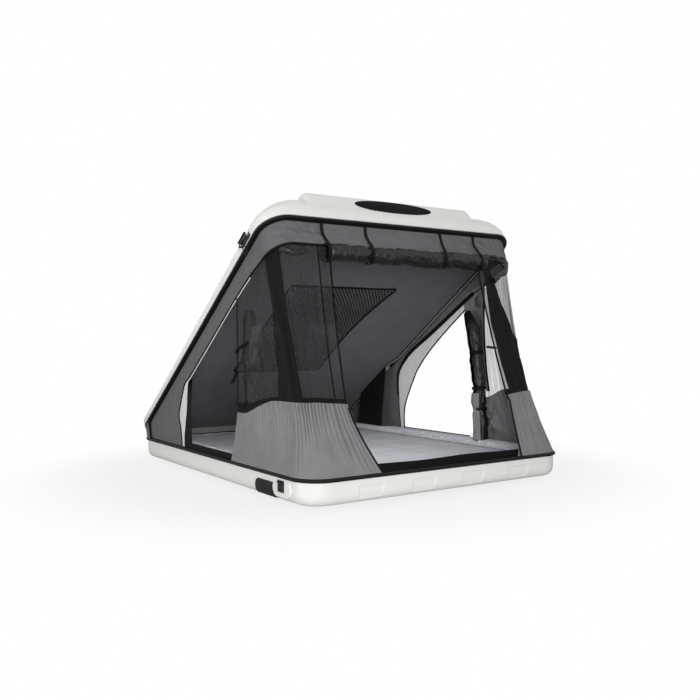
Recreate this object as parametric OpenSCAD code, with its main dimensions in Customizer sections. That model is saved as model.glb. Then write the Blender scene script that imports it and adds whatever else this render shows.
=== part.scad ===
// Hard-shell roof top tent that opens as a wedge on a rear hinge.
// Origin: between the two mounting rails, on the plane of their undersides. +Z is up, the hinge is at +Y.
// The lid is drawn closed and then turned open about the hinge axis, as it stands in use.

/* [Base tray] */
// Width of the tray at its rim
tray_w = 1490; // [1400:10:1600]
// Depth of the tray at its rim, hinge to front
tray_d = 1990; // [1900:10:2100]
// Height of the tray wall
tray_h = 100; // [94:1:112]
// Wall and floor thickness of the tray
tray_wall = 6; // [4:0.5:8]
// Plan radius of the tray corners
corner_r = 120; // [120:5:200]
// How far the flat bottom lies inside the rim
tray_foot_in = 34; // [24:1:44]
// Height of the rounded bottom edge
tray_curve_h = 45; // [36:1:46]
// Width of a moulded front pad
pad_w = 135; // [110:1:160]
// Height of a moulded front pad
pad_h = 56; // [44:1:60]
// Distance between the pads
pad_pitch = 288; // [240:2:320]
// Depth of the pads in the wall
pad_depth = 3; // [1:0.5:3.5]
// Height of the pads above the tray bottom
pad_z = 17; // [12:1:22]
// Slant of a pad's right edge
pad_slant = 14; // [6:1:24]

/* [Rim seals] */
// Height of each rim seal
seal_h = 15; // [12:0.5:18]
// How far seals and lid stand out past the tray wall
lid_over = 12; // [9:0.5:14]
// How far the seals reach inside the tray wall's outer face
seal_in = 14; // [12:0.5:18]
// Gap between the two seals when the lid is shut
seal_gap = 0.5; // [0.3:0.1:1]

/* [Lid] */
// Angle of the open lid
open_angle = 33.4; // [30:0.1:35]
// Thickness of the lid shell
lid_wall = 5; // [3:0.5:7]
// Height of the upright lid edge
lid_side_h = 28; // [27:1:34]
// Height of the lid deck at the front
lid_front_h = 122; // [100:1:134]
// Height of the lid deck at the hinge
lid_rear_h = 50; // [46:1:60]
// Width of the rounded shoulders at the lid's sides
lid_shoulder = 236; // [200:2:244]
// Depth of the rounded nose at the lid's front
lid_nose = 40; // [30:1:60]
// Depth of the rounded tail at the hinge
lid_tail = 120; // [80:2:160]
// Width of the raised deck panel at its foot
hump_w = 1050; // [900:10:1060]
// Height of the raised deck panel
hump_h = 46; // [30:1:52]
// Draft of the raised panel's sides
hump_draft = 28; // [14:1:36]
// Setback of the raised panel's top edge from the lid front
hump_front = 26; // [20:1:40]
// Distance from the hinge end to the raised panel
hump_rear = 330; // [250:10:500]

/* [Mounting rails] */
// Distance between the rail centres
rail_span = 800; // [600:10:1000]
// Length of a rail
rail_len = 1700; // [1620:10:1800]
// Width of a rail
rail_w = 50; // [44:1:60]
// Height of a rail
rail_h = 25; // [23:1:30]
// Wall of a rail
rail_wall = 4; // [3:0.5:4.5]
// Width of the slot under a rail
rail_slot = 14; // [10:0.5:16]
// Diameter of the rail bolts
rail_bolt_d = 8; // [6:1:8]
// Head diameter of the rail bolts
rail_head_d = 15; // [13:1:17]
// Head height of the rail bolts
rail_head_h = 6; // [4:0.5:7]
// Distance between the rail bolts
rail_bolt_pitch = 500; // [400:10:520]

/* [Hinges] */
// Distance between the hinge centres
hinge_span = 960; // [700:10:1100]
// Width of a hinge leaf
hinge_w = 104; // [80:2:120]
// Thickness of a hinge leaf
hinge_t = 4; // [3:0.5:4.5]
// Outer radius of a hinge knuckle
knuckle_r = 8; // [7:0.5:9]
// Diameter of a hinge pin
pin_d = 8; // [6:0.5:9]
// Clearance round a turning pin
pin_clear = 0.06; // [0.04:0.01:0.1]
// Side gap between knuckles
knuckle_gap = 0.6; // [0.4:0.1:1]
// Height of a hinge plate on the tray
hinge_plate_h = 34; // [24:1:36]

/* [Gas struts] */
// Distance of a strut's tray pivot from the hinge axis
strut_a = 430; // [420:5:440]
// Distance of a strut's lid pivot from the hinge axis
strut_b = 700; // [690:5:710]
// Drop of the tray pivot below the split
strut_drop = 50; // [46:1:54]
// Rise of the lid pivot above the split
strut_rise = 30; // [28:0.5:31]
// Diameter of the strut tube
strut_tube_d = 20; // [18:1:22]
// Diameter of the strut rod
strut_rod_d = 10; // [8:1:12]
// Outer diameter of a strut eye
strut_eye_d = 22; // [18:1:24]
// Thickness of a strut eye
strut_eye_t = 12; // [10:1:14]
// Diameter of a strut pivot pin
strut_pin_d = 8; // [6:0.5:9]
// Distance from the tray wall's outer face to the strut centre
strut_in = 45; // [44:1:48]
// Gap at the open lid pivot
strut_gap = 0.5; // [0.4:0.1:0.8]
// Length left between tube and eye when shut
strut_spare = 12; // [10:1:14]

/* [Latches] */
// Distance of a latch from the tray's front wall
latch_front = 197; // [187:1:232]
// Length of a latch along the lid edge
latch_len = 86; // [80:1:96]
// Height of a latch plate
latch_plate_h = 23; // [20:1:24]
// Thickness of a latch plate
latch_t = 3; // [2:0.5:3.5]
// Diameter of a latch pivot pin
latch_pin_d = 5; // [4:0.5:5]
// Outer radius of the lever knuckle
lever_r = 5; // [4.5:0.25:5.5]
// Thickness of the lever paddle
lever_t = 4.5; // [4:0.5:5]
// Wire diameter of a bail
bail_wire = 4; // [3:0.25:4.5]
// Width of a bail between its wire centres
bail_w = 26; // [24:1:30]
// Length of a bail
bail_len = 62; // [60:1:64]
// Lean of a bail when it is hooked on its keeper
bail_swing = 6.3; // [6:0.1:6.6]
// Width of a keeper
keeper_w = 50; // [40:1:56]
// Height of the boss under a keeper
boss_h = 75; // [64:1:76]
// Length of the boss under a keeper
boss_len = 160; // [130:2:180]
// How far the boss stands out
boss_out = 4; // [3:0.5:5]

/* [Side grips] */
// Length of a side grip
grip_len = 158; // [120:2:170]
// Height of a side grip
grip_h = 62; // [54:1:64]
// How far a grip stands out of the tray wall
grip_out = 8; // [6:0.5:10]
// Number of ribs on a grip
grip_ribs = 6; // [4:1:8]
// Distance between grip and boss
grip_gap = 3; // [2:0.5:6]

/* [Mattress] */
// Gap from the mattress to the tray wall's outer face at each side
mattress_side = 93; // [91:1:140]
// Gap from the mattress to the tray wall's outer face at each end
mattress_end = 55; // [45:1:90]
// Thickness of the mattress at its edge
mattress_t = 96; // [80:1:98]
// Crown of the mattress top
mattress_crown = 8; // [4:1:10]
// Depth of the quilting channels
quilt_depth = 5; // [2:0.5:7]

/* [Canvas] */
// Thickness of the canvas
cloth_t = 3.3; // [2.5:0.1:4]
// Clearance between soft pieces and what holds them
soft_gap = 0.3; // [0.2:0.05:0.5]
// Drop of the side header below the lid edge
header_side = 132; // [120:1:150]
// Drop of the front header below the lid edge
header_front = 105; // [90:1:120]
// Y of the door's rear edge
door_rear = 340; // [280:5:380]
// Y of the door's front edge, negative towards the front
door_front = -320; // [-360:5:-280]
// Radius of the door arch
door_r = 260; // [200:5:300]
// Half width of the front opening under the header
front_top = 470; // [440:5:500]
// Half width of the front opening at the skirt seam
front_seam = 485; // [450:5:520]
// Half width of the front opening at the sill
front_sill_w = 415; // [380:5:450]
// Height of the skirt seam at the front, above the rim
seam_front = 320; // [280:5:360]
// Height of the skirt seam at the door, above the rim
seam_side = 233; // [200:5:280]
// How far the walls are drawn in at the skirt seam
pinch = 42; // [20:1:60]
// Depth of the folds in the corner mesh
mesh_fold = 9; // [4:0.5:14]
// Depth of the folds in the skirts
skirt_fold = 16; // [6:0.5:22]
// Height of the front sill
sill_h = 42; // [34:1:48]
// Height of the side sills
sill_side_h = 24; // [18:1:26]
// Radius of the rolled front door
front_roll_r = 36; // [28:1:42]
// Radius of a rolled side door
side_roll_r = 32; // [26:1:36]
// Width of the roll straps
strap_w = 22; // [16:1:30]
// Thickness of the roll straps
strap_t = 2.4; // [2:0.2:3]
// Distance of the inner roll straps from the middle
strap_mid = 220; // [160:5:280]
// Inset of the outer roll straps from the end of the roll
strap_inset = 20; // [16:1:40]
// Setback of a side roll's upper end from the door's front edge
roll_high_in = 40; // [36:1:60]
// Setback of a side roll's lower end from the door's front edge
roll_low_in = 84; // [60:2:100]
// Gap above and below a side roll
roll_end_gap = 38; // [30:1:50]
// Reach of a strut cover's foot to the front of the tray pivot
cover_foot_front = 125; // [100:5:140]
// Reach of a strut cover's foot to the rear of the tray pivot
cover_foot_rear = 148; // [120:2:160]
// Reach of a strut cover's top to the front of the lid pivot
cover_top_front = 40; // [30:2:50]
// Reach of a strut cover's top to the rear of the lid pivot
cover_top_rear = 306; // [260:2:320]
// Distance of a strut cover from the strut
cover_gap = 27; // [22:1:30]

/* [Lining and net] */
// Height of the lining's face above the split
lining_rise = 3; // [2.6:0.1:5]
// Thickness of the lining pad
lining_t = 16; // [12:1:20]
// Gap from the lining's edge to the side canvas
lining_edge = 6; // [4:0.5:10]
// Width of the ceiling net
net_w = 810; // [600:10:900]
// Depth of the ceiling net
net_d = 750; // [600:10:800]
// X of the net's middle
net_x = -155; // [-200:5:-100]
// Distance of the net's rear edge from the hinge axis
net_along = 760; // [720:10:860]
// Width of the net's hem
net_hem = 14; // [10:1:20]
// Strand width of the net
net_strand = 5; // [3:0.5:7]
// Thickness of the net
net_t = 1.6; // [1.2:0.1:1.8]

/* [Hidden] */
$fn = 64;

// Colours as the pieces look
shell_white = [0.91, 0.91, 0.90];
seal_black = [0.06, 0.06, 0.06];
canvas_grey = [0.42, 0.42, 0.43];
mesh_black = [0.12, 0.12, 0.12];
lining_grey = [0.25, 0.26, 0.27];
mattress_grey = [0.70, 0.71, 0.74];
alloy_grey = [0.68, 0.69, 0.70];
steel_grey = [0.55, 0.56, 0.58];
plastic_black = [0.08, 0.08, 0.08];

// Levels
rim_z = rail_h + tray_h;
split_z = rim_z + seal_h;
lid_rim = split_z + seal_gap + seal_h;
floor_z = rail_h + tray_wall;

// Hinge axis
hinge_stand = 2;
hinge_y = tray_d / 2 + lid_over + hinge_stand + knuckle_r;
lid_w = tray_w + 2 * lid_over;
lid_d = tray_d + 2 * lid_over;
lid_r = corner_r + lid_over;
lid_slope = tan(open_angle);

// A point of the closed lid, turned to where it stands open
function opened(p) =
    let (along = hinge_y - p[1], rise = p[2] - split_z)
    [p[0], hinge_y - along * cos(open_angle) + rise * sin(open_angle),
     split_z + along * sin(open_angle) + rise * cos(open_angle)];
function mix(a, b, t) = a + (b - a) * t;
function flat(list) = [for (row = list) for (item = row) item];

// Turns a closed lid piece open
module open_lid() {
    translate([0, hinge_y, split_z])
        rotate([-open_angle, 0, 0])
            translate([0, -hinge_y, -split_z])
                children();
}

// Rectangle with round corners, from squares and circles
module round_rect(w, d, r) {
    square([w - 2 * r, d], center = true);
    square([w, d - 2 * r], center = true);
    for (sx = [-1, 1], sy = [-1, 1])
        translate([sx * (w / 2 - r), sy * (d / 2 - r)])
            circle(r);
}

// Points of a rectangle with round corners, for lofts
corner_steps = 10;
function rect_points(w, d, r, y) =
    [for (k = [0:3], s = [0:corner_steps])
        let (a = 90 * (k + s / corner_steps))
        [(k == 0 || k == 3 ? 1 : -1) * (w / 2 - r) + r * cos(a),
         y + (k < 2 ? 1 : -1) * (d / 2 - r) + r * sin(a)]];

// Sweeps a profile round a rectangle with round corners; the profile's x is measured from the corner centre
module ring(w, d, r) {
    for (side = [0, 1])
        mirror([side, 0, 0])
            translate([w / 2 - r, 0, 0])
                rotate([90, 0, 0])
                    linear_extrude(d - 2 * r, center = true)
                        children();
    for (end = [90, -90])
        rotate([0, 0, end])
            translate([d / 2 - r, 0, 0])
                rotate([90, 0, 0])
                    linear_extrude(w - 2 * r, center = true)
                        children();
    for (k = [0:3])
        translate([(k == 0 || k == 3 ? 1 : -1) * (w / 2 - r), (k < 2 ? 1 : -1) * (d / 2 - r), 0])
            rotate([0, 0, 90 * k])
                rotate_extrude(angle = 90)
                    children();
}

// A disc axis along X
module x_cylinder(r, x0, x1) {
    translate([x0, 0, 0])
        rotate([0, 90, 0])
            cylinder(r = r, h = x1 - x0);
}

// A disc axis along Y
module y_cylinder(r, y0, y1) {
    translate([0, y1, 0])
        rotate([90, 0, 0])
            cylinder(r = r, h = y1 - y0);
}

// Extrudes a YZ outline along X
module yz_extrude(x0, x1) {
    translate([x0, 0, 0])
        rotate([90, 0, 90])
            linear_extrude(x1 - x0)
                children();
}

// Places a piece drawn on the right
module on_side(side) {
    mirror([side == "left" ? 1 : 0, 0, 0])
        children();
}

// Places a piece drawn on the left
module from_left(side) {
    mirror([side == "right" ? 1 : 0, 0, 0])
        children();
}

// Cloth of two faces from two grids of points, outer and inner
module cloth_solid(outer, inner) {
    rows = len(outer);
    cols = len(outer[0]);
    n = rows * cols;
    points = concat(flat(outer), flat(inner));
    faces_out = [for (r = [0:rows - 2], c = [0:cols - 2])
        let (a = r * cols + c, b = a + 1, d = a + cols, e = d + 1)
        each [[a, b, e], [a, e, d]]];
    faces_in = [for (f = faces_out) [f[0] + n, f[2] + n, f[1] + n]];
    edge = concat(
        [for (c = [0:cols - 1]) c],
        [for (r = [1:rows - 1]) r * cols + cols - 1],
        [for (c = [cols - 2:-1:0]) (rows - 1) * cols + c],
        [for (r = [rows - 2:-1:1]) r * cols]);
    m = len(edge);
    faces_edge = [for (k = [0:m - 1])
        let (a = edge[k], b = edge[(k + 1) % m])
        each [[b, a, a + n], [b, a + n, b + n]]];
    polyhedron(points, concat(faces_out, faces_in, faces_edge));
}

// Closed tube through rings of points
module ring_solid(rings) {
    n = len(rings);
    m = len(rings[0]);
    points = concat(flat(rings), [ring_middle(rings[0]), ring_middle(rings[n - 1])]);
    walls = [for (r = [0:n - 2], k = [0:m - 1])
        let (a = r * m + k, b = r * m + (k + 1) % m, c = a + m, d = b + m)
        each [[a, d, b], [a, c, d]]];
    caps = [for (k = [0:m - 1])
        let (next = (k + 1) % m, last = (n - 1) * m)
        each [[k, next, n * m], [last + next, last + k, n * m + 1]]];
    polyhedron(points, concat(walls, caps));
}
function ring_middle(ring) =
    [for (axis = [0:2]) [for (p = ring) p[axis]] * [for (p = ring) 1 / len(ring)]];

// Tray form from its flat bottom to its rim, inset by a skin and with the floor raised
function tray_ring(inset, level) =
    [for (q = rect_points(tray_w - 2 * inset, tray_d - 2 * inset, corner_r - inset, 0))
        [q[0], q[1], rail_h + level]];
module tray_body(skin, raise, top) {
    steps = 5;
    curve = [for (k = [0:steps]) let (turn = 90 * k / steps)
        tray_ring(skin + tray_foot_in * (1 - sin(turn)), raise + (tray_curve_h - raise) * (1 - cos(turn)))];
    ring_solid(concat(curve, [tray_ring(skin, top)]));
}

// Latch layout: pivot and bail axis measured out of the lid's side and up from the plate's middle
latch_y = latch_front - tray_d / 2;
latch_z = lid_rim + lid_side_h / 2;
lever_pivot = [18, -8];
bail_axis = [10, 1];
bail_y = 20;
bail_r = bail_wire / 2;
hook_gap = 0.6;
hook_t = 4;
lip_t = 1.5;
hook_y = latch_y + bail_y;
bar_x = lid_w / 2 + bail_axis[0] - bail_len * sin(bail_swing);
bar_z = latch_z + bail_axis[1] - bail_len * cos(bail_swing);

// Boss and grip on the tray sides
boss_z = rim_z - 46;
grip_z = boss_z - 12;
rib_h = 4;
module boss_outline() {
    square([boss_len - boss_h, boss_h], center = true);
    for (end = [-1, 1])
        translate([end * (boss_len - boss_h) / 2, 0])
            circle(boss_h / 2);
}

// Places of the rail bolts
module at_rail_bolts() {
    for (side = [-1, 1], k = [0:3])
        translate([side * rail_span / 2, (k - 1.5) * rail_bolt_pitch, 0])
            children();
}

module base_tray() {
    color(shell_white)
    difference() {
        union() {
            tray_body(0, 0, tray_h);
            for (side = ["left", "right"])
                on_side(side)
                    yz_extrude(tray_w / 2 - tray_foot_in / 2, tray_w / 2 + boss_out)
                        translate([hook_y, boss_z])
                            boss_outline();
        }
        tray_body(tray_wall, tray_wall, tray_h + 1);
        difference() {
            for (k = [0:3])
                translate([(k - 1.5) * pad_pitch - pad_w / 2, tray_foot_in - tray_d / 2, rail_h + pad_z])
                    rotate([90, 0, 0])
                        linear_extrude(2 * tray_foot_in)
                            polygon([[0, 0], [pad_w - pad_slant, 0], [pad_w, pad_h], [0, pad_h]]);
            tray_body(pad_depth, 0, tray_h + 1);
        }
        at_rail_bolts()
            translate([0, 0, rail_h - 1])
                cylinder(d = rail_bolt_d + 2 * pin_clear, h = tray_wall + 2);
    }
}

// Rim seal section: a flat strip with a round outer edge
module seal_section() {
    translate([corner_r - seal_in, 0])
        square([seal_in + lid_over - seal_h / 2, seal_h]);
    translate([corner_r + lid_over - seal_h / 2, seal_h / 2])
        circle(seal_h / 2);
}

module base_seal() {
    color(seal_black)
    translate([0, 0, rim_z])
        ring(tray_w, tray_d, corner_r)
            seal_section();
}

module mounting_rail(side) {
    color(alloy_grey)
    on_side(side)
    translate([rail_span / 2, 0, 0])
    difference() {
        translate([0, rail_len / 2, 0])
            rotate([90, 0, 0])
                linear_extrude(rail_len)
                    difference() {
                        translate([-rail_w / 2, 0])
                            square([rail_w, rail_h]);
                        translate([rail_wall - rail_w / 2, rail_wall])
                            square([rail_w - 2 * rail_wall, rail_h - 2 * rail_wall]);
                        translate([-rail_slot / 2, -1])
                            square([rail_slot, rail_wall + 2]);
                    }
        for (k = [0:3])
            translate([0, (k - 1.5) * rail_bolt_pitch, rail_h - rail_wall - 1])
                cylinder(d = rail_bolt_d + 2 * pin_clear, h = rail_wall + 2);
    }
}

module rail_bolts() {
    color(steel_grey)
    at_rail_bolts() {
        translate([0, 0, rail_h - rail_wall - rail_head_h])
            cylinder(d = rail_head_d, h = rail_head_h);
        translate([0, 0, rail_h - rail_wall - 1])
            cylinder(d = rail_bolt_d, h = rail_wall + tray_wall);
    }
}

// Mattress: a quilted top on a grid, then drawn-in sides down to a flat bottom
quilt_x = 24;
quilt_y = 28;
quilt_cell = 4;
mattress_w = tray_w - 2 * mattress_side;
mattress_d = tray_d - 2 * mattress_end;
mattress_z = floor_z + soft_gap;
function quilt_dip(k) = 0.5 + 0.5 * cos(360 * k / quilt_cell);
function quilt_top(i, j) =
    let (u = 2 * i / quilt_x - 1, v = 2 * j / quilt_y - 1, body = (1 - pow(u, 6)) * (1 - pow(v, 6)))
    mattress_t + (mattress_crown - quilt_depth * max(quilt_dip(i), quilt_dip(j))) * body;
function mattress_pt(i, j, inset, z) =
    [(mattress_w - 2 * inset) * (i / quilt_x - 0.5), (mattress_d - 2 * inset) * (0.5 - j / quilt_y),
     mattress_z + z];
mattress_sides = [[3, 0.86], [7, 0.5], [3, 0.14], [14, 0]];
module mattress() {
    cols = quilt_x + 1;
    grid = [for (j = [0:quilt_y], i = [0:quilt_x]) mattress_pt(i, j, 14, quilt_top(i, j))];
    edge = concat(
        [for (i = [0:quilt_x]) [i, 0]],
        [for (j = [1:quilt_y]) [quilt_x, j]],
        [for (i = [quilt_x - 1:-1:0]) [i, quilt_y]],
        [for (j = [quilt_y - 1:-1:1]) [0, j]]);
    m = len(edge);
    n = len(grid);
    loops = [for (s = mattress_sides, e = edge) mattress_pt(e[0], e[1], s[0], s[1] * mattress_t)];
    levels = len(mattress_sides);
    bottom = n + levels * m;
    top_faces = [for (j = [0:quilt_y - 1], i = [0:quilt_x - 1])
        let (a = j * cols + i, d = a + cols)
        each [[a, a + 1, d + 1], [a, d + 1, d]]];
    first = [for (e = edge) e[1] * cols + e[0]];
    rings = concat([first], [for (s = [0:levels - 1]) [for (k = [0:m - 1]) n + s * m + k]]);
    side_faces = [for (s = [0:levels - 1], k = [0:m - 1])
        let (a = rings[s][k], b = rings[s][(k + 1) % m], c = rings[s + 1][k], d = rings[s + 1][(k + 1) % m])
        each [[b, a, c], [b, c, d]]];
    base_faces = [for (k = [0:m - 1]) [rings[levels][(k + 1) % m], rings[levels][k], bottom]];
    color(mattress_grey)
        polyhedron(concat(grid, loops, [[0, 0, mattress_z]]), concat(top_faces, side_faces, base_faces));
}

// Hinge layout
leg_y = hinge_y - knuckle_r;
mid_w = hinge_w * 0.4;
plate_top = rim_z - 13;
lid_plate_h = lid_side_h - 4;
module at_hinge(side) {
    on_side(side)
        translate([hinge_span / 2, 0, 0])
            children();
}
module hinge_base_leaf(side) {
    end_w = (hinge_w - mid_w) / 2 - knuckle_gap;
    color(steel_grey)
    at_hinge(side)
    difference() {
        union() {
            translate([-hinge_w / 2, tray_d / 2, plate_top - hinge_plate_h])
                cube([hinge_w, hinge_t, hinge_plate_h]);
            translate([-hinge_w / 2, tray_d / 2, plate_top - hinge_t])
                cube([hinge_w, leg_y + hinge_t - tray_d / 2, hinge_t]);
            translate([-hinge_w / 2, leg_y, plate_top - hinge_t])
                cube([hinge_w, hinge_t, split_z - knuckle_r - 1 - plate_top + hinge_t]);
            for (end = [0, 1])
                mirror([end, 0, 0])
                    translate([hinge_w / 2 - end_w, 0, 0]) {
                        translate([0, leg_y, plate_top])
                            cube([end_w, hinge_t, split_z - plate_top]);
                        translate([0, hinge_y, split_z])
                            x_cylinder(knuckle_r, 0, end_w);
                    }
        }
        translate([0, hinge_y, split_z])
            x_cylinder(pin_d / 2 + pin_clear, -hinge_w, hinge_w);
    }
}

module hinge_lid_leaf(side) {
    color(steel_grey)
    open_lid()
    at_hinge(side)
    difference() {
        union() {
            translate([-hinge_w / 2, leg_y, split_z + knuckle_r + 1])
                cube([hinge_w, hinge_t, lid_rim + 2 + lid_plate_h - split_z - knuckle_r - 1]);
            translate([-hinge_w / 2, lid_d / 2, lid_rim + 2])
                cube([hinge_w, leg_y - lid_d / 2 + 1, lid_plate_h]);
            translate([-mid_w / 2, leg_y, split_z])
                cube([mid_w, hinge_t, knuckle_r + 2]);
            translate([0, hinge_y, split_z])
                x_cylinder(knuckle_r, -mid_w / 2, mid_w / 2);
        }
        translate([0, hinge_y, split_z])
            x_cylinder(pin_d / 2 + pin_clear, -hinge_w, hinge_w);
    }
}

module hinge_pin(side) {
    head_t = 3;
    color(steel_grey)
    at_hinge(side)
    translate([0, hinge_y, split_z]) {
        x_cylinder(pin_d / 2, -hinge_w / 2 - 1, hinge_w / 2 + 1);
        for (end = [0, 1])
            mirror([end, 0, 0])
                x_cylinder(knuckle_r - 1, hinge_w / 2 + 0.2, hinge_w / 2 + 0.2 + head_t);
    }
}

// Gas strut layout in the side plane, from the tray pivot to the lid pivot
strut_x = tray_w / 2 - strut_in;
strut_foot = [strut_x, hinge_y - strut_a, split_z - strut_drop];
strut_shut = [strut_x, hinge_y - strut_b, split_z + strut_rise];
strut_head = opened(strut_shut);
strut_open_len = norm(strut_head - strut_foot);
strut_shut_len = norm(strut_shut - strut_foot);
strut_turn = atan2(strut_foot[1] - strut_head[1], strut_head[2] - strut_foot[2]);
strut_boss_r = 9;
strut_cap_r = 7;
strut_cap_t = 3;
bore_floor = 25;
tube_end = strut_shut_len - strut_eye_d / 2 - strut_spare;
rod_start = strut_open_len - strut_shut_len + bore_floor + 3;
module at_strut(side) {
    on_side(side)
        translate(strut_foot)
            rotate([strut_turn, 0, 0])
                children();
}

module strut_base_bracket(side) {
    wall_x = tray_w / 2 - tray_wall - strut_x;
    color(steel_grey)
    on_side(side)
    translate(strut_foot) {
        translate([wall_x - 4, -26, -15])
            cube([4, 52, 30]);
        x_cylinder(strut_boss_r, strut_eye_t / 2 + strut_gap, wall_x - 2);
        x_cylinder(strut_pin_d / 2, -strut_eye_t / 2 - strut_gap - 1, strut_eye_t / 2 + strut_gap + 1);
        x_cylinder(strut_cap_r, -strut_eye_t / 2 - strut_gap - strut_cap_t, -strut_eye_t / 2 - strut_gap);
    }
}

module strut_tube(side) {
    color(plastic_black)
    at_strut(side)
    difference() {
        union() {
            x_cylinder(strut_eye_d / 2, -strut_eye_t / 2, strut_eye_t / 2);
            cylinder(d = strut_eye_t - 2, h = 20);
            translate([0, 0, 18])
                cylinder(d = strut_tube_d, h = tube_end - 18);
        }
        x_cylinder(strut_pin_d / 2 + pin_clear, -strut_eye_t, strut_eye_t);
        translate([0, 0, bore_floor])
            cylinder(d = strut_rod_d + 2 * pin_clear, h = tube_end);
    }
}

module strut_rod(side) {
    color(steel_grey)
    at_strut(side)
    difference() {
        union() {
            translate([0, 0, rod_start])
                cylinder(d = strut_rod_d, h = strut_open_len - rod_start);
            translate([0, 0, strut_open_len])
                x_cylinder(strut_eye_d / 2, -strut_eye_t / 2, strut_eye_t / 2);
        }
        translate([0, 0, strut_open_len])
            x_cylinder(strut_pin_d / 2 + pin_clear, -strut_eye_t, strut_eye_t);
    }
}

module strut_lid_bracket(side) {
    wall_x = lid_w / 2 - lid_wall - strut_x;
    color(steel_grey)
    open_lid()
    on_side(side)
    translate(strut_shut) {
        translate([wall_x - 4, -24, -12])
            cube([4, 48, 24]);
        x_cylinder(strut_boss_r, strut_eye_t / 2 + strut_gap, wall_x - 2);
    }
}

// Latches, drawn with their origin on the lid's side
module at_latch(side) {
    open_lid()
        on_side(side)
            translate([lid_w / 2, latch_y, latch_z])
                children();
}
module at_lever_pivot() {
    translate([lever_pivot[0], 0, lever_pivot[1]])
        children();
}
module at_bail_axis() {
    translate([bail_axis[0], bail_y, bail_axis[1]])
        children();
}
ear_t = 3;
lever_half = latch_len / 2 - ear_t - 0.5;
wire_room = bail_r + 1.5;
bail_relief = bail_w / 2 + wire_room;
lug_half = bail_w / 2 - wire_room;
lug_r = 4;

module latch_plate(side) {
    color(plastic_black)
    at_latch(side)
    difference() {
        union() {
            translate([0, -latch_len / 2, -latch_plate_h / 2])
                cube([latch_t, latch_len, latch_plate_h]);
            for (end = [0, 1])
                mirror([0, end, 0]) {
                    translate([0, latch_len / 2 - ear_t, lever_pivot[1] - 3])
                        cube([lever_pivot[0], ear_t, 8]);
                    at_lever_pivot()
                        y_cylinder(lever_r, latch_len / 2 - ear_t, latch_len / 2);
                }
        }
        at_lever_pivot()
            y_cylinder(latch_pin_d / 2 + pin_clear, -latch_len, latch_len);
    }
}

module latch_pin(side) {
    color(steel_grey)
    at_latch(side)
    at_lever_pivot() {
        y_cylinder(latch_pin_d / 2, -latch_len / 2 - 1, bail_y - bail_relief);
        y_cylinder(latch_pin_d / 2, bail_y + bail_relief, latch_len / 2 + 1);
        for (end = [0, 1])
            mirror([0, end, 0])
                y_cylinder(lever_r - 1, latch_len / 2 + 0.2, latch_len / 2 + 2.2);
    }
}

module latch_lever(side) {
    slot_h = bail_axis[1] - lever_pivot[1] + bail_r + 0.5;
    color(plastic_black)
    at_latch(side)
    difference() {
        union() {
            at_lever_pivot()
                y_cylinder(lever_r, -lever_half, lever_half);
            translate([lever_pivot[0] - 2, -lever_half, lever_pivot[1]])
                cube([lever_t, 2 * lever_half, 22]);
            translate([lever_pivot[0], -lever_half, lever_pivot[1] + 19])
                cube([lever_t + 2, 2 * lever_half, 3]);
            at_bail_axis()
                y_cylinder(lug_r, -lug_half, lug_half);
            translate([bail_axis[0], bail_y - lug_half, bail_axis[1] - 3.5])
                cube([lever_pivot[0] - bail_axis[0], 2 * lug_half, 7]);
        }
        translate([0, bail_y - bail_relief, lever_pivot[1] - lever_r - 1])
            cube([lever_pivot[0] + lever_r + 1, 2 * bail_relief, lever_r + 6.5]);
        for (end = [-1, 1])
            translate([lever_pivot[0] - lever_r, bail_y + end * bail_w / 2 - wire_room, lever_pivot[1]])
                cube([2 * lever_r + lever_t, 2 * wire_room, slot_h]);
        at_lever_pivot()
            y_cylinder(latch_pin_d / 2 + pin_clear, -latch_len, latch_len);
        at_bail_axis()
            y_cylinder(bail_r + pin_clear, -latch_len, latch_len);
    }
}

module latch_bail(side) {
    color(plastic_black)
    at_latch(side)
    at_bail_axis() {
        for (z = [0, -bail_len]) {
            translate([0, 0, z])
                y_cylinder(bail_r, -bail_w / 2, bail_w / 2);
            for (end = [-1, 1])
                translate([0, end * bail_w / 2, z])
                    sphere(bail_r);
        }
        for (end = [-1, 1])
            translate([0, end * bail_w / 2, -bail_len])
                cylinder(r = bail_r, h = bail_len);
    }
}

module latch_keeper(side) {
    back_x = tray_w / 2 + boss_out;
    arm_z = bar_z + bail_r + hook_gap;
    lip_x = bar_x + bail_r + hook_gap;
    arm_half = bail_w / 2 - bail_r - 2;
    color(plastic_black)
    on_side(side)
    translate([0, hook_y, 0]) {
        translate([back_x, -keeper_w / 2, boss_z - 13])
            cube([hook_t, keeper_w, arm_z + hook_t - boss_z + 13]);
        translate([back_x, -arm_half, arm_z])
            cube([lip_x + lip_t - back_x, 2 * arm_half, hook_t]);
        translate([lip_x, -arm_half, bar_z - 3])
            cube([lip_t, 2 * arm_half, arm_z + 1 - bar_z + 3]);
    }
}

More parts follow.
